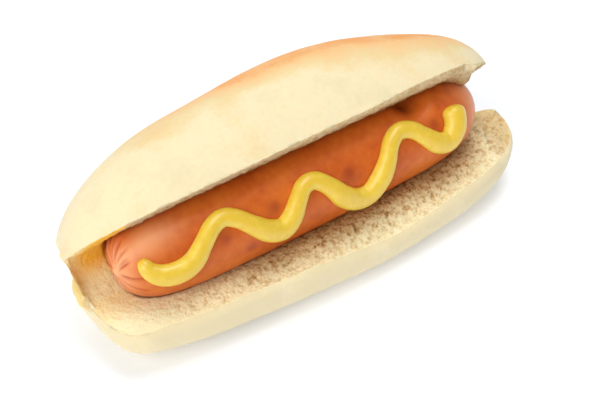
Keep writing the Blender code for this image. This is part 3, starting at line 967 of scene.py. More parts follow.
@dataclass(frozen=True)
class Browning:
    """Where the oven browned the crust: most on the crown, and more towards the +X end.

    Places run from -1 to 1 along the roll. A pair named for a place gives where a change
    starts and how far it runs.
    """

    least: float = 0.14
    most: float = 0.93
    ridge: float = 0.78
    ridge_along: tuple[float, float] = (-0.95, 1.0)
    low: tuple[float, float] = (0.3, 0.1)            # how low on the crown it starts, at each end
    low_along: tuple[float, float] = (-0.1, 0.4)
    patch: tuple[float, float, float] = (0.15, 0.3, 0.25)    # a browner one: place, spread, share
    far: float = 0.3                 # more at the +X end, over nearly all the crown
    far_along: tuple[float, float] = (0.1, 0.6)
    far_crown: float = 0.3

    def at(self, u: float, crown: float) -> float:
        """How browned the crust is.

        Args:
            u: where along the roll, from -1 to 1.
            crown: 1 on the ridge and 0 at the sides.

        Returns:
            The share, from 0 to 1.
        """
        low = mix(*self.low, eased(u, *self.low_along))
        place, spread, more = self.patch
        ridge = smooth((crown - low) / (1.0 - low)) * eased(u, *self.ridge_along)
        ridge *= 1.0 + more * bump((u - place) / spread)
        far = self.far * eased(u, *self.far_along) * smooth(crown / self.far_crown)
        return min(self.most, self.least + self.ridge * ridge + far)


@dataclass
class Roll:
    """The split roll: two halves that are one piece along the hinge at the back.

    Places and spreads that aren't in millimetres run from -1 to 1 along the roll.
    """

    sausage: Sausage
    browning: Browning = Browning()
    length: float = 167.0
    width: float = 59.0
    plan_fullness: float = 3.0       # powers of the outline seen from above
    plan_tip: float = 2.75
    cut_height: float = 19.8         # the bottom half's cut face, over the table
    base_sink: float = 0.9           # the underside is pressed flat by this much
    base_fullness: float = 3.4
    base_tip: float = 3.3
    dome_height: float = 32.4
    # Where the dome is lower: each place, its spread and the share that it is lower
    dome_dips: tuple[tuple[float, float, float], ...] = ((-0.27, 0.26, 0.04), (0.72, 0.2, 0.045))
    dome_fullness: float = 2.08
    dome_tip: float = 2.0
    shoulder: float = 1.6            # the crust rounds in this far to the crumb's rim
    shoulder_depth: float = 3.5      # and from this far down
    rim_fall: float = 1.4            # the crumb's rim lies this much lower than its middle
    rim_dip: float = 3.4             # and this much lower again at the dip
    rim_dip_place: float = 0.2
    rim_dip_spread: float = 0.24
    rim_run: float = 9.0             # the fall's width
    lip_height: tuple[float, float, float] = (0.15, 0.6, 1.1)   # torn crumb under the top's lip
    lip_starts: tuple[float, float] = (-0.4, 0.2)
    lip_runs: tuple[float, float] = (0.5, 0.35)
    lip_end: tuple[float, float] = (0.76, 0.84)
    lip_end_draw: float = 0.9        # the share of its height that it loses at the +X end
    lip_tuck: float = 0.7            # how far the torn crumb leans in, against its height
    lip_steps: int = 3
    beak_hollow: float = 3.0         # the top's crumb draws up behind the beak
    beak_hollow_run: float = 0.12
    beak_hollow_rim: float = 5.0     # over this far in from the lip
    tail_start: float = 0.86         # from here the bottom's back draws in to its torn end
    tail_run: float = 0.07
    tail_draw: float = 0.8
    waist: float = 1.6               # the bottom's front draws in here, and lifts off the table
    waist_lift: float = 4.0
    waist_place: float = -0.47
    waist_spread: float = 0.28
    far_waist: float = 0.1           # the same, less, towards the +X end
    far_lift: float = 1.6
    far_place: float = 0.42
    far_spread: float = 0.34
    lift_reach: float = 0.6          # the lift grows over this share of the half width
    heel: float = 4.4                # the bottom's front is fuller at the -X end
    heel_place: float = -0.97
    heel_spread: float = 0.12
    bow: float = -1.3                # the bottom's ends lie this far over in y
    beak_start: float = 0.74         # the top's back draws in to a beak at the +X end
    beak_run: float = 0.2
    beak_draw: float = 0.75
    beak_short: float = 1.3          # the top ends this much before the bottom
    beak_short_along: tuple[float, float] = (0.8, 0.2)
    tip_fade: float = 14.0           # the rim's shapes fade where the half width is less
    hinge_y: float = 18.0
    opening: float = math.radians(50.3)
    top_slip: float = -3.0           # how far the open top has moved along and up
    top_lift: float = 0.4
    hinge_spread: float = 12.0       # the crust bends over this height at the hinge, or over
    bend_share: float = 0.45         # this share of the dome's where that is less
    bend_least: float = 0.1
    web: float = 2.6                 # the least crumb left behind the corner
    bowl: float = 9.0                # the round of the corner where the cut is shallow, and
    bowl_share: float = 0.6          # the most of the cut's depth that it takes
    uncut_start: float = -0.5        # the cut is shallower towards the -X end
    uncut_run: float = 0.3
    uncut_y: float = 8.5
    torn_start: float = -0.86        # from here to the -X end the outside is torn too
    torn_run: float = 0.05
    torn_top: float = 9.0            # up to this high over the cut, and this low under it
    torn_bottom: float = 3.0
    torn_fade: float = 3.0
    peel_start: float = -4.0         # it is torn again from this far before the hinge's end
    peel_top: float = 9.0
    peel_bottom: float = 3.0
    peel_fade: float = 4.0
    peel_end: tuple[float, float] = (13.5, -3.0)     # to where the back has opened
    tongue: float = 4.5              # crumb that hangs from the top past the sausage's far end
    tongue_place: float = 0.81
    tongue_spread: float = 0.07
    tongue_in: float = 7.0           # how far in from the lip it hangs, and its spread
    tongue_in_spread: float = 5.0
    tear: float = 9.0                # the back opens over this far past the hinge's end
    tear_web: float = 3.2            # the hinge ends where less crumb is left behind it
    free_corner: float = 0.8         # the cut's depth past there, against the back's
    fillet: float = 5.0              # the round of the corner between the halves
    fillet_fade: float = 24.0
    seat_gap: float = -0.1           # the crumb just touches the sausage
    reach: float = 2.0               # and keeps clear this far past the sausage's ends
    tip_close: float = 0.9997        # the last slice's place
    stations: int = 180              # slices, and the points in each of their rows
    face_steps: int = 36
    web_steps: int = 10
    dome_steps: int = 48
    base_steps: int = 44
    fine_rows: int = 15              # rows of the bottom face that are cut finer, from its rim
    fine_lip: int = 6
    fine_ends: tuple[float, float] = (-0.78, 0.72)
    fine_cuts: int = 2

    def hinge_end(self) -> float:
        """Where the uncut strip ends, at the +X end."""
        narrow = (self.hinge_y + self.tear_web) / (self.width / 2.0)
        return (1.0 - narrow ** self.plan_tip) ** (1.0 / self.plan_fullness)

    def places(self) -> list[float]:
        """Place the slices.

        Returns:
            Their places from -1 to 1, at equal steps along the roll's outline, with one
            just where the hinge ends.
        """
        count = 4000
        line = [math.sin(math.pi / 2.0 * (2.0 * k / count - 1.0)) * self.tip_close
                for k in range(count + 1)]
        run = [0.0]
        for a, b in zip(line, line[1:]):
            wide = [self.width / 2.0 * tip(u, self.plan_fullness, self.plan_tip) for u in (a, b)]
            run.append(run[-1] + math.hypot((b - a) * self.length / 2.0, wide[1] - wide[0]))
        places: list[float] = []
        k = 0
        for station in range(self.stations + 1):
            target = run[-1] * station / self.stations
            while k < count - 1 and run[k + 1] < target:
                k += 1
            share = (target - run[k]) / (run[k + 1] - run[k])
            places.append(mix(line[k], line[k + 1], share))
        end = self.hinge_end()
        nearest = min(range(len(places)), key=lambda n: abs(places[n] - end))
        places[nearest] = end
        return places

    def clear_sausage(self, point: Vector) -> Vector:
        """Press a crumb point out of the sausage, square to its length.

        Args:
            point: where it would be.

        Returns:
            Where it is.
        """
        s = self.sausage
        widest = 0.0
        for step in (-self.reach, 0.0, self.reach):
            u = (point.x + step - s.x) / (s.length / 2.0)
            if abs(u) < 1.0:
                widest = max(widest, s.radius_at(u))
        if not widest:
            return point
        radius = widest + self.seat_gap
        u = min(1.0, max(-1.0, (point.x - s.x) / (s.length / 2.0)))
        centre = s.ring_centre(u)
        out = Vector((0.0, point.y - centre.y, point.z - centre.z))
        if out.length >= radius:
            return point
        return Vector((point.x, centre.y, centre.z)) + out.normalized() * radius

    def build(self, crust: CrustFinish, crumb: CrumbFinish) -> bpy.types.Object:
        """Make the roll.

        Args:
            crust: its outside.
            crumb: its cut faces.

        Returns:
            The object.
        """
        bm = bmesh.new()
        layers = RollLayers(bm)
        end = self.hinge_end()
        slices = [Slice(bm, layers, Section(self, u, u <= end + 1e-6)) for u in self.places()]
        fine: list = []
        for near, far in zip(slices, slices[1:]):
            at_end = not self.fine_ends[0] < near.u < self.fine_ends[1]
            bottom = strip(bm, near.face, far.face)
            top = strip(bm, near.lid, far.lid)
            fine += bottom if at_end else bottom[:self.fine_rows]
            fine += top if at_end else top[:self.fine_lip]
            # A face that is more than half torn shows crumb
            for face in strip(bm, near.base, far.base) + strip(bm, near.dome, far.dome):
                face.material_index = int(sum(vert[layers.golden] for vert in face.verts) > 2.0)
            inside = bottom + top
            if far.joined:
                web = strip(bm, near.web, far.web)
                inside += web
                fine += web if at_end else []
            elif near.joined:
                for k in range(len(near.web) - 1):
                    inside.append(bm.faces.new((near.web[k], near.web[k + 1], near.base[-1])))
            if not far.joined:
                inside += strip(bm, (near.face[-1], near.base[-1]), (far.face[-1], far.base[-1]))
                inside += strip(bm, (near.lid[-1], near.dome[-1]), (far.lid[-1], far.dome[-1]))
            for face in inside:
                face.material_index = 1
        first = slices[0]
        around = first.face + first.web[1:-1] + first.lid[::-1] + first.dome[1:-1]
        bm.faces.new(around + first.base[:0:-1])
        last = slices[-1]
        bm.faces.new(last.face + last.base[:0:-1])
        bm.faces.new(last.lid + last.dome[:0:-1])
        edges = list(dict.fromkeys(edge for face in fine for edge in face.edges))
        bmesh.ops.subdivide_edges(bm, edges=edges, cuts=self.fine_cuts, use_grid_fill=True)
        bm.normal_update()
        CrumbRelief(self.sausage).press(bm, layers)
        log.info("roll: %d faces", len(bm.faces))
        return finish_mesh(bm, "roll", [crust.make(), crumb.make()])


class RollLayers:
    """The values that each of the roll's points carries while its mesh is made."""

    def __init__(self, bm: bmesh.types.BMesh) -> None:
        """Add the layers to a new mesh."""
        new = bm.verts.layers.float.new
        self.baked = new(Tone.BAKED.value)
        self.pore = new(Tone.PORE.value)
        self.golden = new(Tone.GOLDEN.value)
        self.glow = new(Tone.GLOW.value)
        self.soaked = new(Tone.CRUMB_SHADE.value)
        self.crumbly = new(Tone.CRUMBLY.value)
        self.inside = new("inside")      # how far inside the crust's rim, in millimetres
        self.across = new("across")      # how far across the roll before it opens
        self.along = new("along")
        self.half = new("half")          # 0 on the bottom's face, 1 on the top's, 0.5 between


class Section:
    """One slice of the roll across its length."""

    def __init__(self, roll: Roll, u: float, joined: bool) -> None:
        """Work out the slice's rows.

        Args:
            roll: the roll's sizes.
            u: the slice's place, from -1 to 1.
            joined: whether the two halves are one piece here.
        """
        self.roll = roll
        self.u = u
        self.x = roll.length / 2.0 * u
        self.width = roll.width / 2.0 * tip(u, roll.plan_fullness, roll.plan_tip)
        self.joined = joined
        self.past_hinge = self.x - roll.length / 2.0 * roll.hinge_end()
        self.corner = min(roll.hinge_y, self.width - roll.web)
        self.uncut = eased(u, roll.uncut_start, -roll.uncut_run)
        self.corner = min(self.corner, mix(roll.hinge_y, roll.uncut_y, self.uncut))
        if not joined:
            self.corner = min(self.corner, self.back() * roll.free_corner)
        self.tip_share = min(1.0, self.width / roll.tip_fade)

    def place(self, y: float, z: float, turn: float) -> Vector:
        """Set a point of the closed roll where it lies when the roll is open.

        Args:
            y: its place across the roll.
            z: its height over the cut.
            turn: its share of the opening, 0 on the bottom half and 1 on the top.

        Returns:
            The point.
        """
        r = self.roll
        angle = r.opening * turn
        reach = y - r.hinge_y
        lean = r.bow * self.u ** 2 * (1.0 - turn)
        short = r.beak_short * eased(self.u, *r.beak_short_along)
        return Vector((
            self.x + (r.top_slip - short) * turn,
            r.hinge_y + reach * math.cos(angle) + z * math.sin(angle) + lean,
            r.cut_height + z * math.cos(angle) - reach * math.sin(angle) + r.top_lift * turn,
        ))

    def rim(self) -> float:
        """How far the crumb's rim lies inside the crust."""
        return self.roll.shoulder * self.tip_share

    def rim_drop(self) -> float:
        """Work out how far the bottom's rim lies below the middle of its cut face.

        Returns:
            The drop, in millimetres.
        """
        r = self.roll
        dip = r.rim_dip * bump((self.u - r.rim_dip_place) / r.rim_dip_spread)
        return (r.rim_fall + dip) * self.tip_share

    def dome_top(self) -> float:
        """Work out the top's crown.

        Returns:
            Its height over the cut, in millimetres.
        """
        r = self.roll
        lower = sum(share * bump((self.u - place) / spread) for place, spread, share in r.dome_dips)
        return r.dome_height * tip(self.u, r.dome_tip, r.dome_tip) * (1.0 - lower)

    def torn(self) -> float:
        """Work out the torn crumb between the top's lip and its crust.

        Returns:
            Its height, in millimetres.
        """
        r = self.roll
        least, more, most = r.lip_height
        height = least + more * eased(self.u, r.lip_starts[0], r.lip_runs[0])
        height += most * eased(self.u, r.lip_starts[1], r.lip_runs[1])
        start, end = r.lip_end
        height *= 1.0 - r.lip_end_draw * eased(self.u, start, end - start)
        return height * self.tip_share

    def waist(self) -> float:
        """How much of the bottom's drawn-in waist this slice has, from 0 to 1."""
        return bump((self.u - self.roll.waist_place) / self.roll.waist_spread)

    def far_waist(self) -> float:
        """The same for the shallow waist towards the +X end."""
        return bump((self.u - self.roll.far_place) / self.roll.far_spread)

    def front(self) -> float:
        """Work out the bottom's front, with its waists and its heel.

        Returns:
            Its half width there, in millimetres.
        """
        r = self.roll
        heel = r.heel * bump((self.u - r.heel_place) / r.heel_spread) * self.tip_share
        return self.width - r.waist * self.waist() - r.far_waist * self.far_waist() + heel

    def back(self) -> float:
        """The half width of the top at the back, where it draws in to the beak."""
        r = self.roll
        return self.width * (1.0 - r.beak_draw * eased(self.u, r.beak_start, r.beak_run))

    def tail(self) -> float:
        """The half width of the bottom at the back, where it draws in to its torn end."""
        r = self.roll
        return self.width * (1.0 - r.tail_draw * eased(self.u, r.tail_start, r.tail_run))

    def fillet(self) -> float:
        """Work out the corner's round, which fades where the roll is narrow.

        Returns:
            Its size, in millimetres.
        """
        r = self.roll
        wide = min(r.bowl, r.bowl_share * max(0.0, self.corner + self.width))
        return mix(r.fillet * smooth(self.width / r.fillet_fade), wide, self.uncut)

    def face(self) -> Iterator[tuple[Vector, float, float]]:
        """Lay out the bottom's cut face from its rim.

        Yields:
            Each point, its y in the closed roll, and its distance from the rim.
        """
        r = self.roll
        start = -self.front() + self.rim()
        end = self.corner if self.joined else min(self.corner, self.tail() * r.free_corner)
        end = max(start, end - self.fillet())
        for step in range(r.face_steps + 1):
            y = mix(start, end, step / r.face_steps)
            fall = self.rim_drop() * smooth(1.0 - (y - start) / r.rim_run)
            yield r.clear_sausage(self.place(y, -fall, 0.0)), y, y - start

    def lip_angle(self) -> float:
        """Find where the top's crust starts, above its torn lip.

        Returns:
            Its angle round the section.
        """
        height = self.dome_top()
        if height <= 0.0:
            return 0.0
        share = min(0.5, self.torn() / height)
        return math.asin(share ** (self.roll.dome_fullness / 2.0))

    def lid(self) -> Iterator[tuple[Vector, float, float]]:
        """Lay out the top's crumb from its lip.

        Yields:
            Each point, its y in the closed roll, and its distance from the lip.
        """
        r = self.roll
        torn = self.torn()
        edge = -self.width * math.cos(self.lip_angle()) ** (2.0 / r.dome_fullness)
        start = -self.width + r.lip_tuck * torn
        for step in range(r.lip_steps):
            t = step / r.lip_steps
            y = mix(edge, start, t * t)
            yield self.place(y, torn * (1.0 - t), 1.0), y, torn * t
        end = max(start, self.corner - self.fillet())
        behind = eased(self.u, r.lip_end[0], r.beak_hollow_run)
        tongue = r.tongue * bump((self.u - r.tongue_place) / r.tongue_spread)
        for step in range(r.face_steps + 1):
            y = mix(start, end, step / r.face_steps)
            hollow = r.beak_hollow * behind * smooth((y - start) / r.beak_hollow_rim)
            hollow *= self.tip_share
            hanging = tongue * bump((y - start - r.tongue_in) / r.tongue_in_spread)
            yield r.clear_sausage(self.place(y, hollow - hanging, 1.0)), y, torn + y - start

    def torn_outside(self, angle: float, top: bool) -> float:
        """How much of the outside is torn crumb, at either end of the hinge.

        Args:
            angle: where, from the rim at the front at 0 to the back at pi.
            top: whether it is on the top half.

        Returns:
            The share, from 0 to 1.
        """
        r = self.roll
        if math.cos(angle) > 0.0:
            return 0.0
        height = self.width * math.sin(angle)
        if self.past_hinge > r.peel_start:
            reach = r.peel_top if top else r.peel_bottom
            return smooth((reach - height) / r.peel_fade) * eased(self.past_hinge, *r.peel_end)
        reach = r.torn_top if top else r.torn_bottom
        torn = eased(self.u, r.torn_start, -r.torn_run)
        return torn * smooth((reach - height) / r.torn_fade + 0.5)

    def corner_round(self) -> Iterator[tuple[Vector, float, float]]:
        """Lay out the crumb's corner between the two faces.

        Yields:
            Each point, its y in the closed roll, and its distance from the front.
        """
        start = max(-self.width, self.corner - self.fillet())
        low = self.place(start, 0.0, 0.0)
        high = self.place(start, 0.0, 1.0)
        deep = (self.place(self.corner, 0.0, 0.0) + self.place(self.corner, 0.0, 1.0)) / 2.0
        for step in range(1, self.roll.web_steps):
            t = step / self.roll.web_steps
            point = low * (1 - t) ** 2 + deep * (2 * t * (1 - t)) + high * t ** 2
            yield self.roll.clear_sausage(point), self.corner, start + self.width

    def dome(self) -> Iterator[tuple[Vector, float]]:
        """Lay out the top crust from the lip to the back.

        Yields:
            Each point and its angle round the section.
        """
        r = self.roll
        height = self.dome_top()
        spread = min(r.hinge_spread, r.bend_share * height + r.bend_least)
        first = self.lip_angle()
        for step in range(r.dome_steps + 1):
            angle = mix(first, math.pi, crowded(step / r.dome_steps))
            side = -round_power(math.cos(angle), 2.0 / r.dome_fullness)
            y = side * (self.width if side < 0.0 else self.back())
            z = height * abs(math.sin(angle)) ** (2.0 / r.dome_fullness)
            turn = 1.0
            if side > 0.0 and y > self.corner:
                turn = max(smooth(z / spread), smooth(self.past_hinge / r.tear))
            yield self.place(y, z, turn), angle

    def base(self) -> Iterator[tuple[Vector, float]]:
        """Lay out the bottom crust from the rim, under, and up to the back.

        Yields:
            Each point and its angle round the section.
        """
        r = self.roll
        depth = (r.cut_height + r.base_sink) * tip(self.u, r.base_tip, r.base_tip)
        for step in range(r.base_steps + 1):
            angle = math.pi * crowded(step / r.base_steps)
            side = -round_power(math.cos(angle), 2.0 / r.base_fullness)
            share = abs(math.sin(angle)) ** (2.0 / r.base_fullness)
            fall = depth * share
            y = side * (self.front() if side < 0.0 else self.tail())
            if side < 0.0:
                drop = min(depth, self.rim_drop())
                from_rim = (depth - drop) * share
                fall = drop + from_rim
                rounding = max(0.0, 1.0 - from_rim / r.shoulder_depth)
                y += self.rim() * (1.0 - math.sqrt(1.0 - rounding * rounding))
            lift = r.waist_lift * self.waist() + r.far_lift * self.far_waist()
            lift *= smooth(-side / r.lift_reach)
            fall = min(fall, r.cut_height - lift)
            yield self.place(y, -fall, 0.0), angle


def crowded(t: float, closeness: float = 0.62) -> float:
    """Steps from 0 to 1 that are closer together at both ends."""
    return t - closeness * math.sin(2.0 * math.pi * t) / (2.0 * math.pi)


class Slice:
    """A section's points as vertices, with the shared ones made once."""

    def __init__(self, bm: bmesh.types.BMesh, layers: RollLayers, section: Section) -> None:
        """Make the slice's vertices.

        Args:
            bm: the roll's mesh.
            layers: its layers.
            section: the slice's rows.
        """
        self.u = section.u
        self.joined = section.joined
        browning = section.roll.browning

        def crumb(points: Iterable[tuple[Vector, float, float]], half: float) -> list:
            """Make a row of crumb vertices.

            Args:
                points: each one's point, y and distance from the rim.
                half: 0 on the bottom, 1 on the top, 0.5 in the corner between them.

            Returns:
                The vertices.
            """
            row = []
            for point, y, inside in points:
                vert = bm.verts.new(point)
                vert[layers.inside] = inside
                vert[layers.across] = y
                vert[layers.along] = section.u
                vert[layers.half] = half
                row.append(vert)
            return row

        def crust(points: Iterable[tuple[Vector, float]], top: bool) -> list:
            """Make a row of crust vertices.

            Args:
                points: each one's point and angle.
                top: whether they are on the top half.

            Returns:
                The vertices.
            """
            row = []
            for point, angle in points:
                vert = bm.verts.new(point)
                vert[layers.inside] = -1.0
                vert[layers.along] = section.u
                crown = math.sin(angle) ** 2 if top else 0.0
                # The bottom's crust gets no browning, so it takes the ramp's darker wall colour:
                # painted shade
                vert[layers.baked] = browning.at(section.u, crown) if top else 0.0
                vert[layers.golden] = section.torn_outside(angle, top)
                row.append(vert)
            return row

        self.face = crumb(section.face(), 0.0)
        self.lid = crumb(section.lid(), 1.0)
        base = list(section.base())
        dome = list(section.dome())
        self.base = [self.face[0]] + crust(base[1:], False)
        self.dome = [self.lid[0]] + crust(dome[1:-1], True)
        self.dome += [self.base[-1]] if self.joined else crust(dome[-1:], True)
        self.web = [self.face[-1]]
        if self.joined:
            self.web += crumb(section.corner_round(), 0.5)
        self.web.append(self.lid[-1])


@dataclass
class CrumbRelief:
    """The roll's fine shape: pores and torn lumps in the crumb, soft unevenness in the crust.

    A pair named for lumps gives their size and their height. A pair named for a place along
    the roll, or for a height, gives where a change starts and how far it runs.
    """

    sausage: Sausage
    big_cell: float = 2.6            # the two sizes of pore
    small_cell: float = 1.35
    big_share: float = 0.45          # the share of each that is open
    small_share: float = 0.85
    big_depth: float = 0.8
    small_depth: float = 0.55
    small_tone: float = 0.8          # how deep the painted shade in small pores is, against big ones
    pore_wall: tuple[float, float] = (0.62, -0.5)    # from a pore's edge in, in cells
    wander: float = 0.5              # how crooked the cells are, in cells
    fluff: tuple[float, float] = (0.9, 0.16)         # the broken cell walls
    lump: tuple[float, float] = (5.0, 0.35)          # the crumb's swells
    lid_lumps: tuple[tuple[float, float], ...] = ((2.4, 0.4), (1.1, 0.28))
    lid_torn: float = 9.0            # the top's crumb is lumpier this far in from its lip
    wave: tuple[float, float] = (24.0, 0.35)         # the crust's unevenness
    ripple: tuple[float, float] = (6.0, 0.06)
    rim_lump: tuple[float, float] = (2.5, 0.2)
    torn_lumps: tuple[tuple[float, float], ...] = ((3.0, 0.5), (1.2, 0.3))
    torn_sink: float = 1.3           # how far the torn crumb at the -X end lies inside the crust
    torn_glow: float = 0.1
    torn_crumbly: float = 0.6
    # The pores open up from the bottom's rim and from the top's lip
    rim_run: float = 5.0
    rim_open: float = 0.4
    lip_run: tuple[float, float] = (2.0, 7.0)
    lip_open: float = 0.22
    # The crumb is closer at the -X end, behind the beak, and where it is packed by the sausage
    close_end: tuple[float, float] = (-0.95, 0.5)
    close_open: float = 0.3
    beak: tuple[float, float] = (0.8, 0.08)
    beak_close: float = 0.8
    web_close: float = 0.6
    packed: tuple[float, float] = (0.7, 0.3)
    packed_close: float = 0.5
    # The -X end, where thin crumb lets the light through, painted as an amber glow: more of it
    # higher up in the top half and nearer the hinge in the bottom half
    web_end: tuple[float, float] = (-0.76, -0.08)
    web_least: float = 0.15
    web_lower: float = 0.5
    web_unshaded: float = 0.95
    web_high: tuple[float, float] = (21.0, 5.0)
    web_deep: tuple[float, float] = (23.0, 7.0)
    web_across: tuple[float, float] = (-16.0, 14.0)
    web_glow: tuple[float, float] = (-0.99, 0.09)
    tail: tuple[float, float] = (0.84, 0.08)         # the bottom's thin crumb at +X
    tail_golden: float = 0.42
    left: tuple[float, float] = (-0.3, -0.55)        # the bottom's crumb is painted lighter towards -X, where more light falls
    left_painted_light: float = 0.25
    # Painted shade: the crumb darkens over this distance to the sausage, less towards the -X end,
    # and a little everywhere past the +X end and under the top
    shade_run: float = 15.0
    shade_along: tuple[float, float] = (-0.9, 0.8)
    shade_least: float = 0.1
    shade_most: float = 0.94
    shade_tail: tuple[float, float] = (0.78, 0.1)
    tail_shade: float = 0.35
    lid_shade: float = 0.62
    lid_unshaded: tuple[float, float] = (0.74, 0.08)      # but not at the +X end
    lid_unshaded_share: float = 0.9

    def pit(self, point: Vector, cell: float, share: float) -> float:
        """How deep in a pore a point is, from 0 to 1.

        Args:
            point: where.
            cell: the pores' spacing.
            share: the share of cells that are open.

        Returns:
            The depth.
        """
        wander = Vector([uneven(point, cell * 1.3, seed) for seed in (1.0, 2.0, 3.0)])
        distances, centres = noise.voronoi(point / cell + wander * self.wander)
        chance = 0.5 + 0.9 * noise.noise(centres[0] * 3.7 + Vector((9.1, 4.2, 7.7)))
        hollow = eased(distances[0], *self.pore_wall)
        return hollow * smooth((chance - (1.0 - share)) / 0.5 + 0.25)

    def shade_by_sausage(self, point: Vector) -> float:
        """How much painted shade the sausage casts on the crumb beside it.

        Args:
            point: where.

        Returns:
            The share, from 0 to 1.
        """
        s = self.sausage
        u = (point.x - s.x) / (s.length / 2.0)
        past = max(0.0, abs(u) - 1.0) * s.length / 2.0
        u = min(1.0, max(-1.0, u))
        centre = s.ring_centre(u)
        gap = math.hypot(point.y - centre.y, point.z - centre.z) - s.radius_at(u)
        return smooth(1.0 - math.hypot(max(0.0, gap), past) / self.shade_run)

    def press(self, bm: bmesh.types.BMesh, layers: RollLayers) -> None:
        """Move each of the roll's points along its normal.

        Args:
            bm: the roll's mesh, with its normals up to date.
            layers: its layers.
        """
        for vert in bm.verts:
            if vert[layers.inside] <= 0.0:
                self.press_crust(vert, layers)
            else:
                self.press_crumb(vert, layers)

    def press_crust(self, vert: bmesh.types.BMVert, layers: RollLayers) -> None:
        """Make the crust a little uneven, and lumpy where it is torn.

        Args:
            vert: a point of the crust, or of its rim.
            layers: the mesh's layers.
        """
        point = vert.co.copy()
        lift = self.wave[1] * uneven(point, self.wave[0], 4.0)
        lift += self.ripple[1] * uneven(point, self.ripple[0], 5.0)
        if vert[layers.inside] == 0.0:
            lift = self.rim_lump[1] * uneven(point, self.rim_lump[0], 6.0)
        torn = vert[layers.golden]
        (coarse, high), (fine, low) = self.torn_lumps
        sink = self.torn_sink if vert[layers.along] < 0.0 else 0.0
        lumps = -sink + high * uneven(point, coarse, 10.0) + low * uneven(point, fine, 13.0)
        lift += torn * lumps
        vert[layers.glow] = self.torn_glow * torn
        vert[layers.crumbly] = self.torn_crumbly * torn
        vert.co = point + vert.normal * lift

    def openness(self, vert: bmesh.types.BMVert, layers: RollLayers, end: float) -> float:
        """How open the crumb's pores are at a point.

        Args:
            vert: a point of the crumb.
            layers: the mesh's layers.
            end: how much of the -X end's thin crumb it is.

        Returns:
            The share, from 0 to 1.
        """
        inside, along = vert[layers.inside], vert[layers.along]
        if vert[layers.half] > 0.0:
            share = mix(self.lip_open, 1.0, eased(inside, *self.lip_run))
            behind_beak = 1.0 - self.beak_close * eased(along, *self.beak)
            return share * (behind_beak * (1.0 - self.web_close * end))
        share = mix(self.rim_open, 1.0, smooth(inside / self.rim_run))
        return share * mix(self.close_open, 1.0, eased(along, *self.close_end))

    def press_crumb(self, vert: bmesh.types.BMVert, layers: RollLayers) -> None:
        """Press pores and torn lumps into the crumb, and note its tones.

        The corner between the halves is shaped like the top's crumb.

        Args:
            vert: a point of the crumb.
            layers: the mesh's layers.
        """
        point = vert.co.copy()
        along = vert[layers.along]
        on_top = vert[layers.half] > 0.0
        end = eased(along, *self.web_end)
        openness = self.openness(vert, layers, end)
        big = self.pit(point, self.big_cell, self.big_share)
        small = self.pit(point + Vector((50.0, 0.0, 0.0)), self.small_cell, self.small_share)
        soaked = self.shade_by_sausage(point)
        height = -(big * self.big_depth + small * self.small_depth) * openness
        height *= 1.0 - self.packed_close * eased(soaked, *self.packed)
        height += self.lump[1] * uneven(point, self.lump[0], 7.0) * openness
        height += self.fluff[1] * uneven(point, self.fluff[0], 11.0)
        if on_top:
            (coarse, high), (fine, low) = self.lid_lumps
            torn = smooth(1.0 - vert[layers.inside] / self.lid_torn)
            height += torn * (high * uneven(point, coarse, 8.0) + low * uneven(point, fine, 9.0))
        vert.co = point + vert.normal * height

        vert[layers.crumbly] = openness
        pore = max(big, small * self.small_tone) * openness
        soaked *= mix(self.shade_least, self.shade_most, eased(along, *self.shade_along))
        soaked = max(soaked, self.tail_shade * eased(along, *self.shade_tail))
        if on_top:
            vert[layers.pore] = pore
            vert[layers.golden] = end * mix(self.web_least, 1.0, eased(point.z, *self.web_high))
            vert[layers.glow] = eased(along, *self.web_glow) * eased(point.z, *self.web_deep)
            # Painted shade under the top, less at the +X end
            unshaded = self.lid_unshaded_share * eased(along, *self.lid_unshaded)
            soaked = max(soaked, self.lid_shade * (1.0 - unshaded))
        else:
            # Painted light: paler crumb towards the -X end
            vert[layers.pore] = pore - self.left_painted_light * eased(along, *self.left)
            lower = self.web_lower * eased(vert[layers.across], *self.web_across)
            vert[layers.golden] = max(end * lower, self.tail_golden * eased(along, *self.tail))
        vert[layers.soaked] = min(1.0, soaked) * (1.0 - self.web_unshaded * end)


# ---------------------------------------------------------------- the studio


def direction(azimuth: float, elevation: float) -> Vector:
    """The way out from the object to a place round it.

    Args:
        azimuth: where the place is, in degrees; 0 is in front and 90 at +X.
        elevation: how high, in degrees.

    Returns:
        A vector of length 1.
    """
    a, e = math.radians(azimuth), math.radians(elevation)
    return Vector((math.sin(a) * math.cos(e), -math.cos(a) * math.cos(e), math.sin(e)))


@dataclass(frozen=True)
class Lamp:
    """A soft square lamp that faces the object."""

    name: str
    azimuth: float
    elevation: float
    distance: float                  # in metres, as is its side
    side: float
    power: float                     # in watts
    colour: str = "#ffffff"

    def hang(self) -> None:
        """Hang the lamp."""
        out = direction(self.azimuth, self.elevation)
        data = bpy.data.lights.new(self.name, "AREA")
        data.shape = "SQUARE"
        data.size = self.side
        data.energy = self.power
        data.color = linear(self.colour)[:3]
        lamp = bpy.data.objects.new(self.name, data)
        bpy.context.scene.collection.objects.link(lamp)
        lamp.location = out * self.distance
        lamp.rotation_mode = "QUATERNION"
        lamp.rotation_quaternion = (-out).to_track_quat("-Z", "Y")


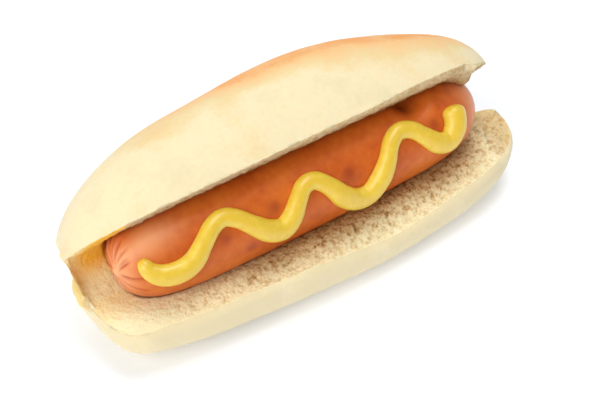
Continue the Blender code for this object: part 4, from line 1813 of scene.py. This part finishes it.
@dataclass
class Studio:
    """A white table, soft light from the left and behind, and the camera."""

    aim: tuple[float, float, float] = (0.95, -5.863, 19.35)
    azimuth: float = -36.2
    elevation: float = 41.08
    distance: float = 526.7
    lens: float = 93.0
    sensor: float = 36.0
    floor: float = 6000.0
    sky: float = 0.4
    lamps: tuple[Lamp, ...] = (
        Lamp("key_left", -64.0, 37.0, 4.0, 2.6, 84.0, "#fffaf2"),
        Lamp("top_softbox", 75.0, 82.0, 3.0, 1.4, 30.0),
        Lamp("rim_back", 160.0, 50.0, 4.0, 3.0, 32.0),
    )

    def stand(self) -> None:
        """Lay the table."""
        half = self.floor / 2.0 * MM
        corners = [(-half, -half, 0.0), (half, -half, 0.0), (half, half, 0.0), (-half, half, 0.0)]
        mesh = bpy.data.meshes.new("table")
        mesh.from_pydata(corners, [], [(0, 1, 2, 3)])
        mesh.materials.append(TableFinish().make())
        table = bpy.data.objects.new("table", mesh)
        bpy.context.scene.collection.objects.link(table)

    def camera(self) -> None:
        """Set up the camera."""
        back = direction(self.azimuth, self.elevation)
        data = bpy.data.cameras.new("camera")
        data.lens = self.lens
        data.sensor_width = self.sensor
        data.clip_start, data.clip_end = 0.01, 20.0
        cam = bpy.data.objects.new("camera", data)
        bpy.context.scene.collection.objects.link(cam)
        cam.location = (Vector(self.aim) + back * self.distance) * MM
        cam.rotation_mode = "QUATERNION"
        cam.rotation_quaternion = (-back).to_track_quat("-Z", "Y")
        bpy.context.scene.camera = cam

    def light(self) -> None:
        """Set the sky and the lamps."""
        world = bpy.data.worlds.new("white_tent")
        bpy.context.scene.world = world
        world.use_nodes = True
        sky = world.node_tree.nodes["Background"].inputs
        sky["Color"].default_value = linear("#ffffff")
        sky["Strength"].default_value = self.sky
        for lamp in self.lamps:
            lamp.hang()
        view = bpy.context.scene.view_settings
        view.view_transform = "Standard"
        view.look = "None"


# ---------------------------------------------------------------- assembly


def settle(pieces: Sequence[bpy.types.Object], roll: bpy.types.Object) -> None:
    """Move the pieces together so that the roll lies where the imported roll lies.

    Args:
        pieces: all the pieces.
        roll: the one whose place is known.
    """
    low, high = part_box("bun")
    corners = [vert.co for vert in roll.data.vertices]
    mine_low = Vector([min(c[axis] for c in corners) for axis in range(3)])
    mine_high = Vector([max(c[axis] for c in corners) for axis in range(3)])
    shift = (Vector(low) + Vector(high) - mine_low - mine_high) / 2.0
    shift.z = low[2] - mine_low.z
    for piece in pieces:
        piece.data.transform(Matrix.Translation(shift))
    log.info("settled by %s mm", [round(v / MM, 3) for v in shift])


def main() -> None:
    """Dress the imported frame."""
    logging.basicConfig(level=logging.INFO, format="%(name)s: %(message)s")
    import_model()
    sausage = Sausage()
    roll_piece = Roll(sausage).build(CrustFinish(), CrumbFinish())
    sausage_piece = sausage.build(SkinFinish())
    mustard_piece = Mustard(sausage).build(MustardFinish())
    pieces = (
        (roll_piece, "bun", "bread"),
        (sausage_piece, "sausage", "sausage_skin"),
        (mustard_piece, "mustard", "mustard"),
    )
    settle([piece for piece, _, _ in pieces], roll_piece)
    for piece, node, slot in pieces:
        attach(piece, "root")
        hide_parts(node)
        log.info("%s stands for %s: %d points", piece.name, node, len(piece.data.vertices))
    studio = Studio()
    studio.stand()
    studio.camera()
    studio.light()


if __name__ == "__main__":
    main()
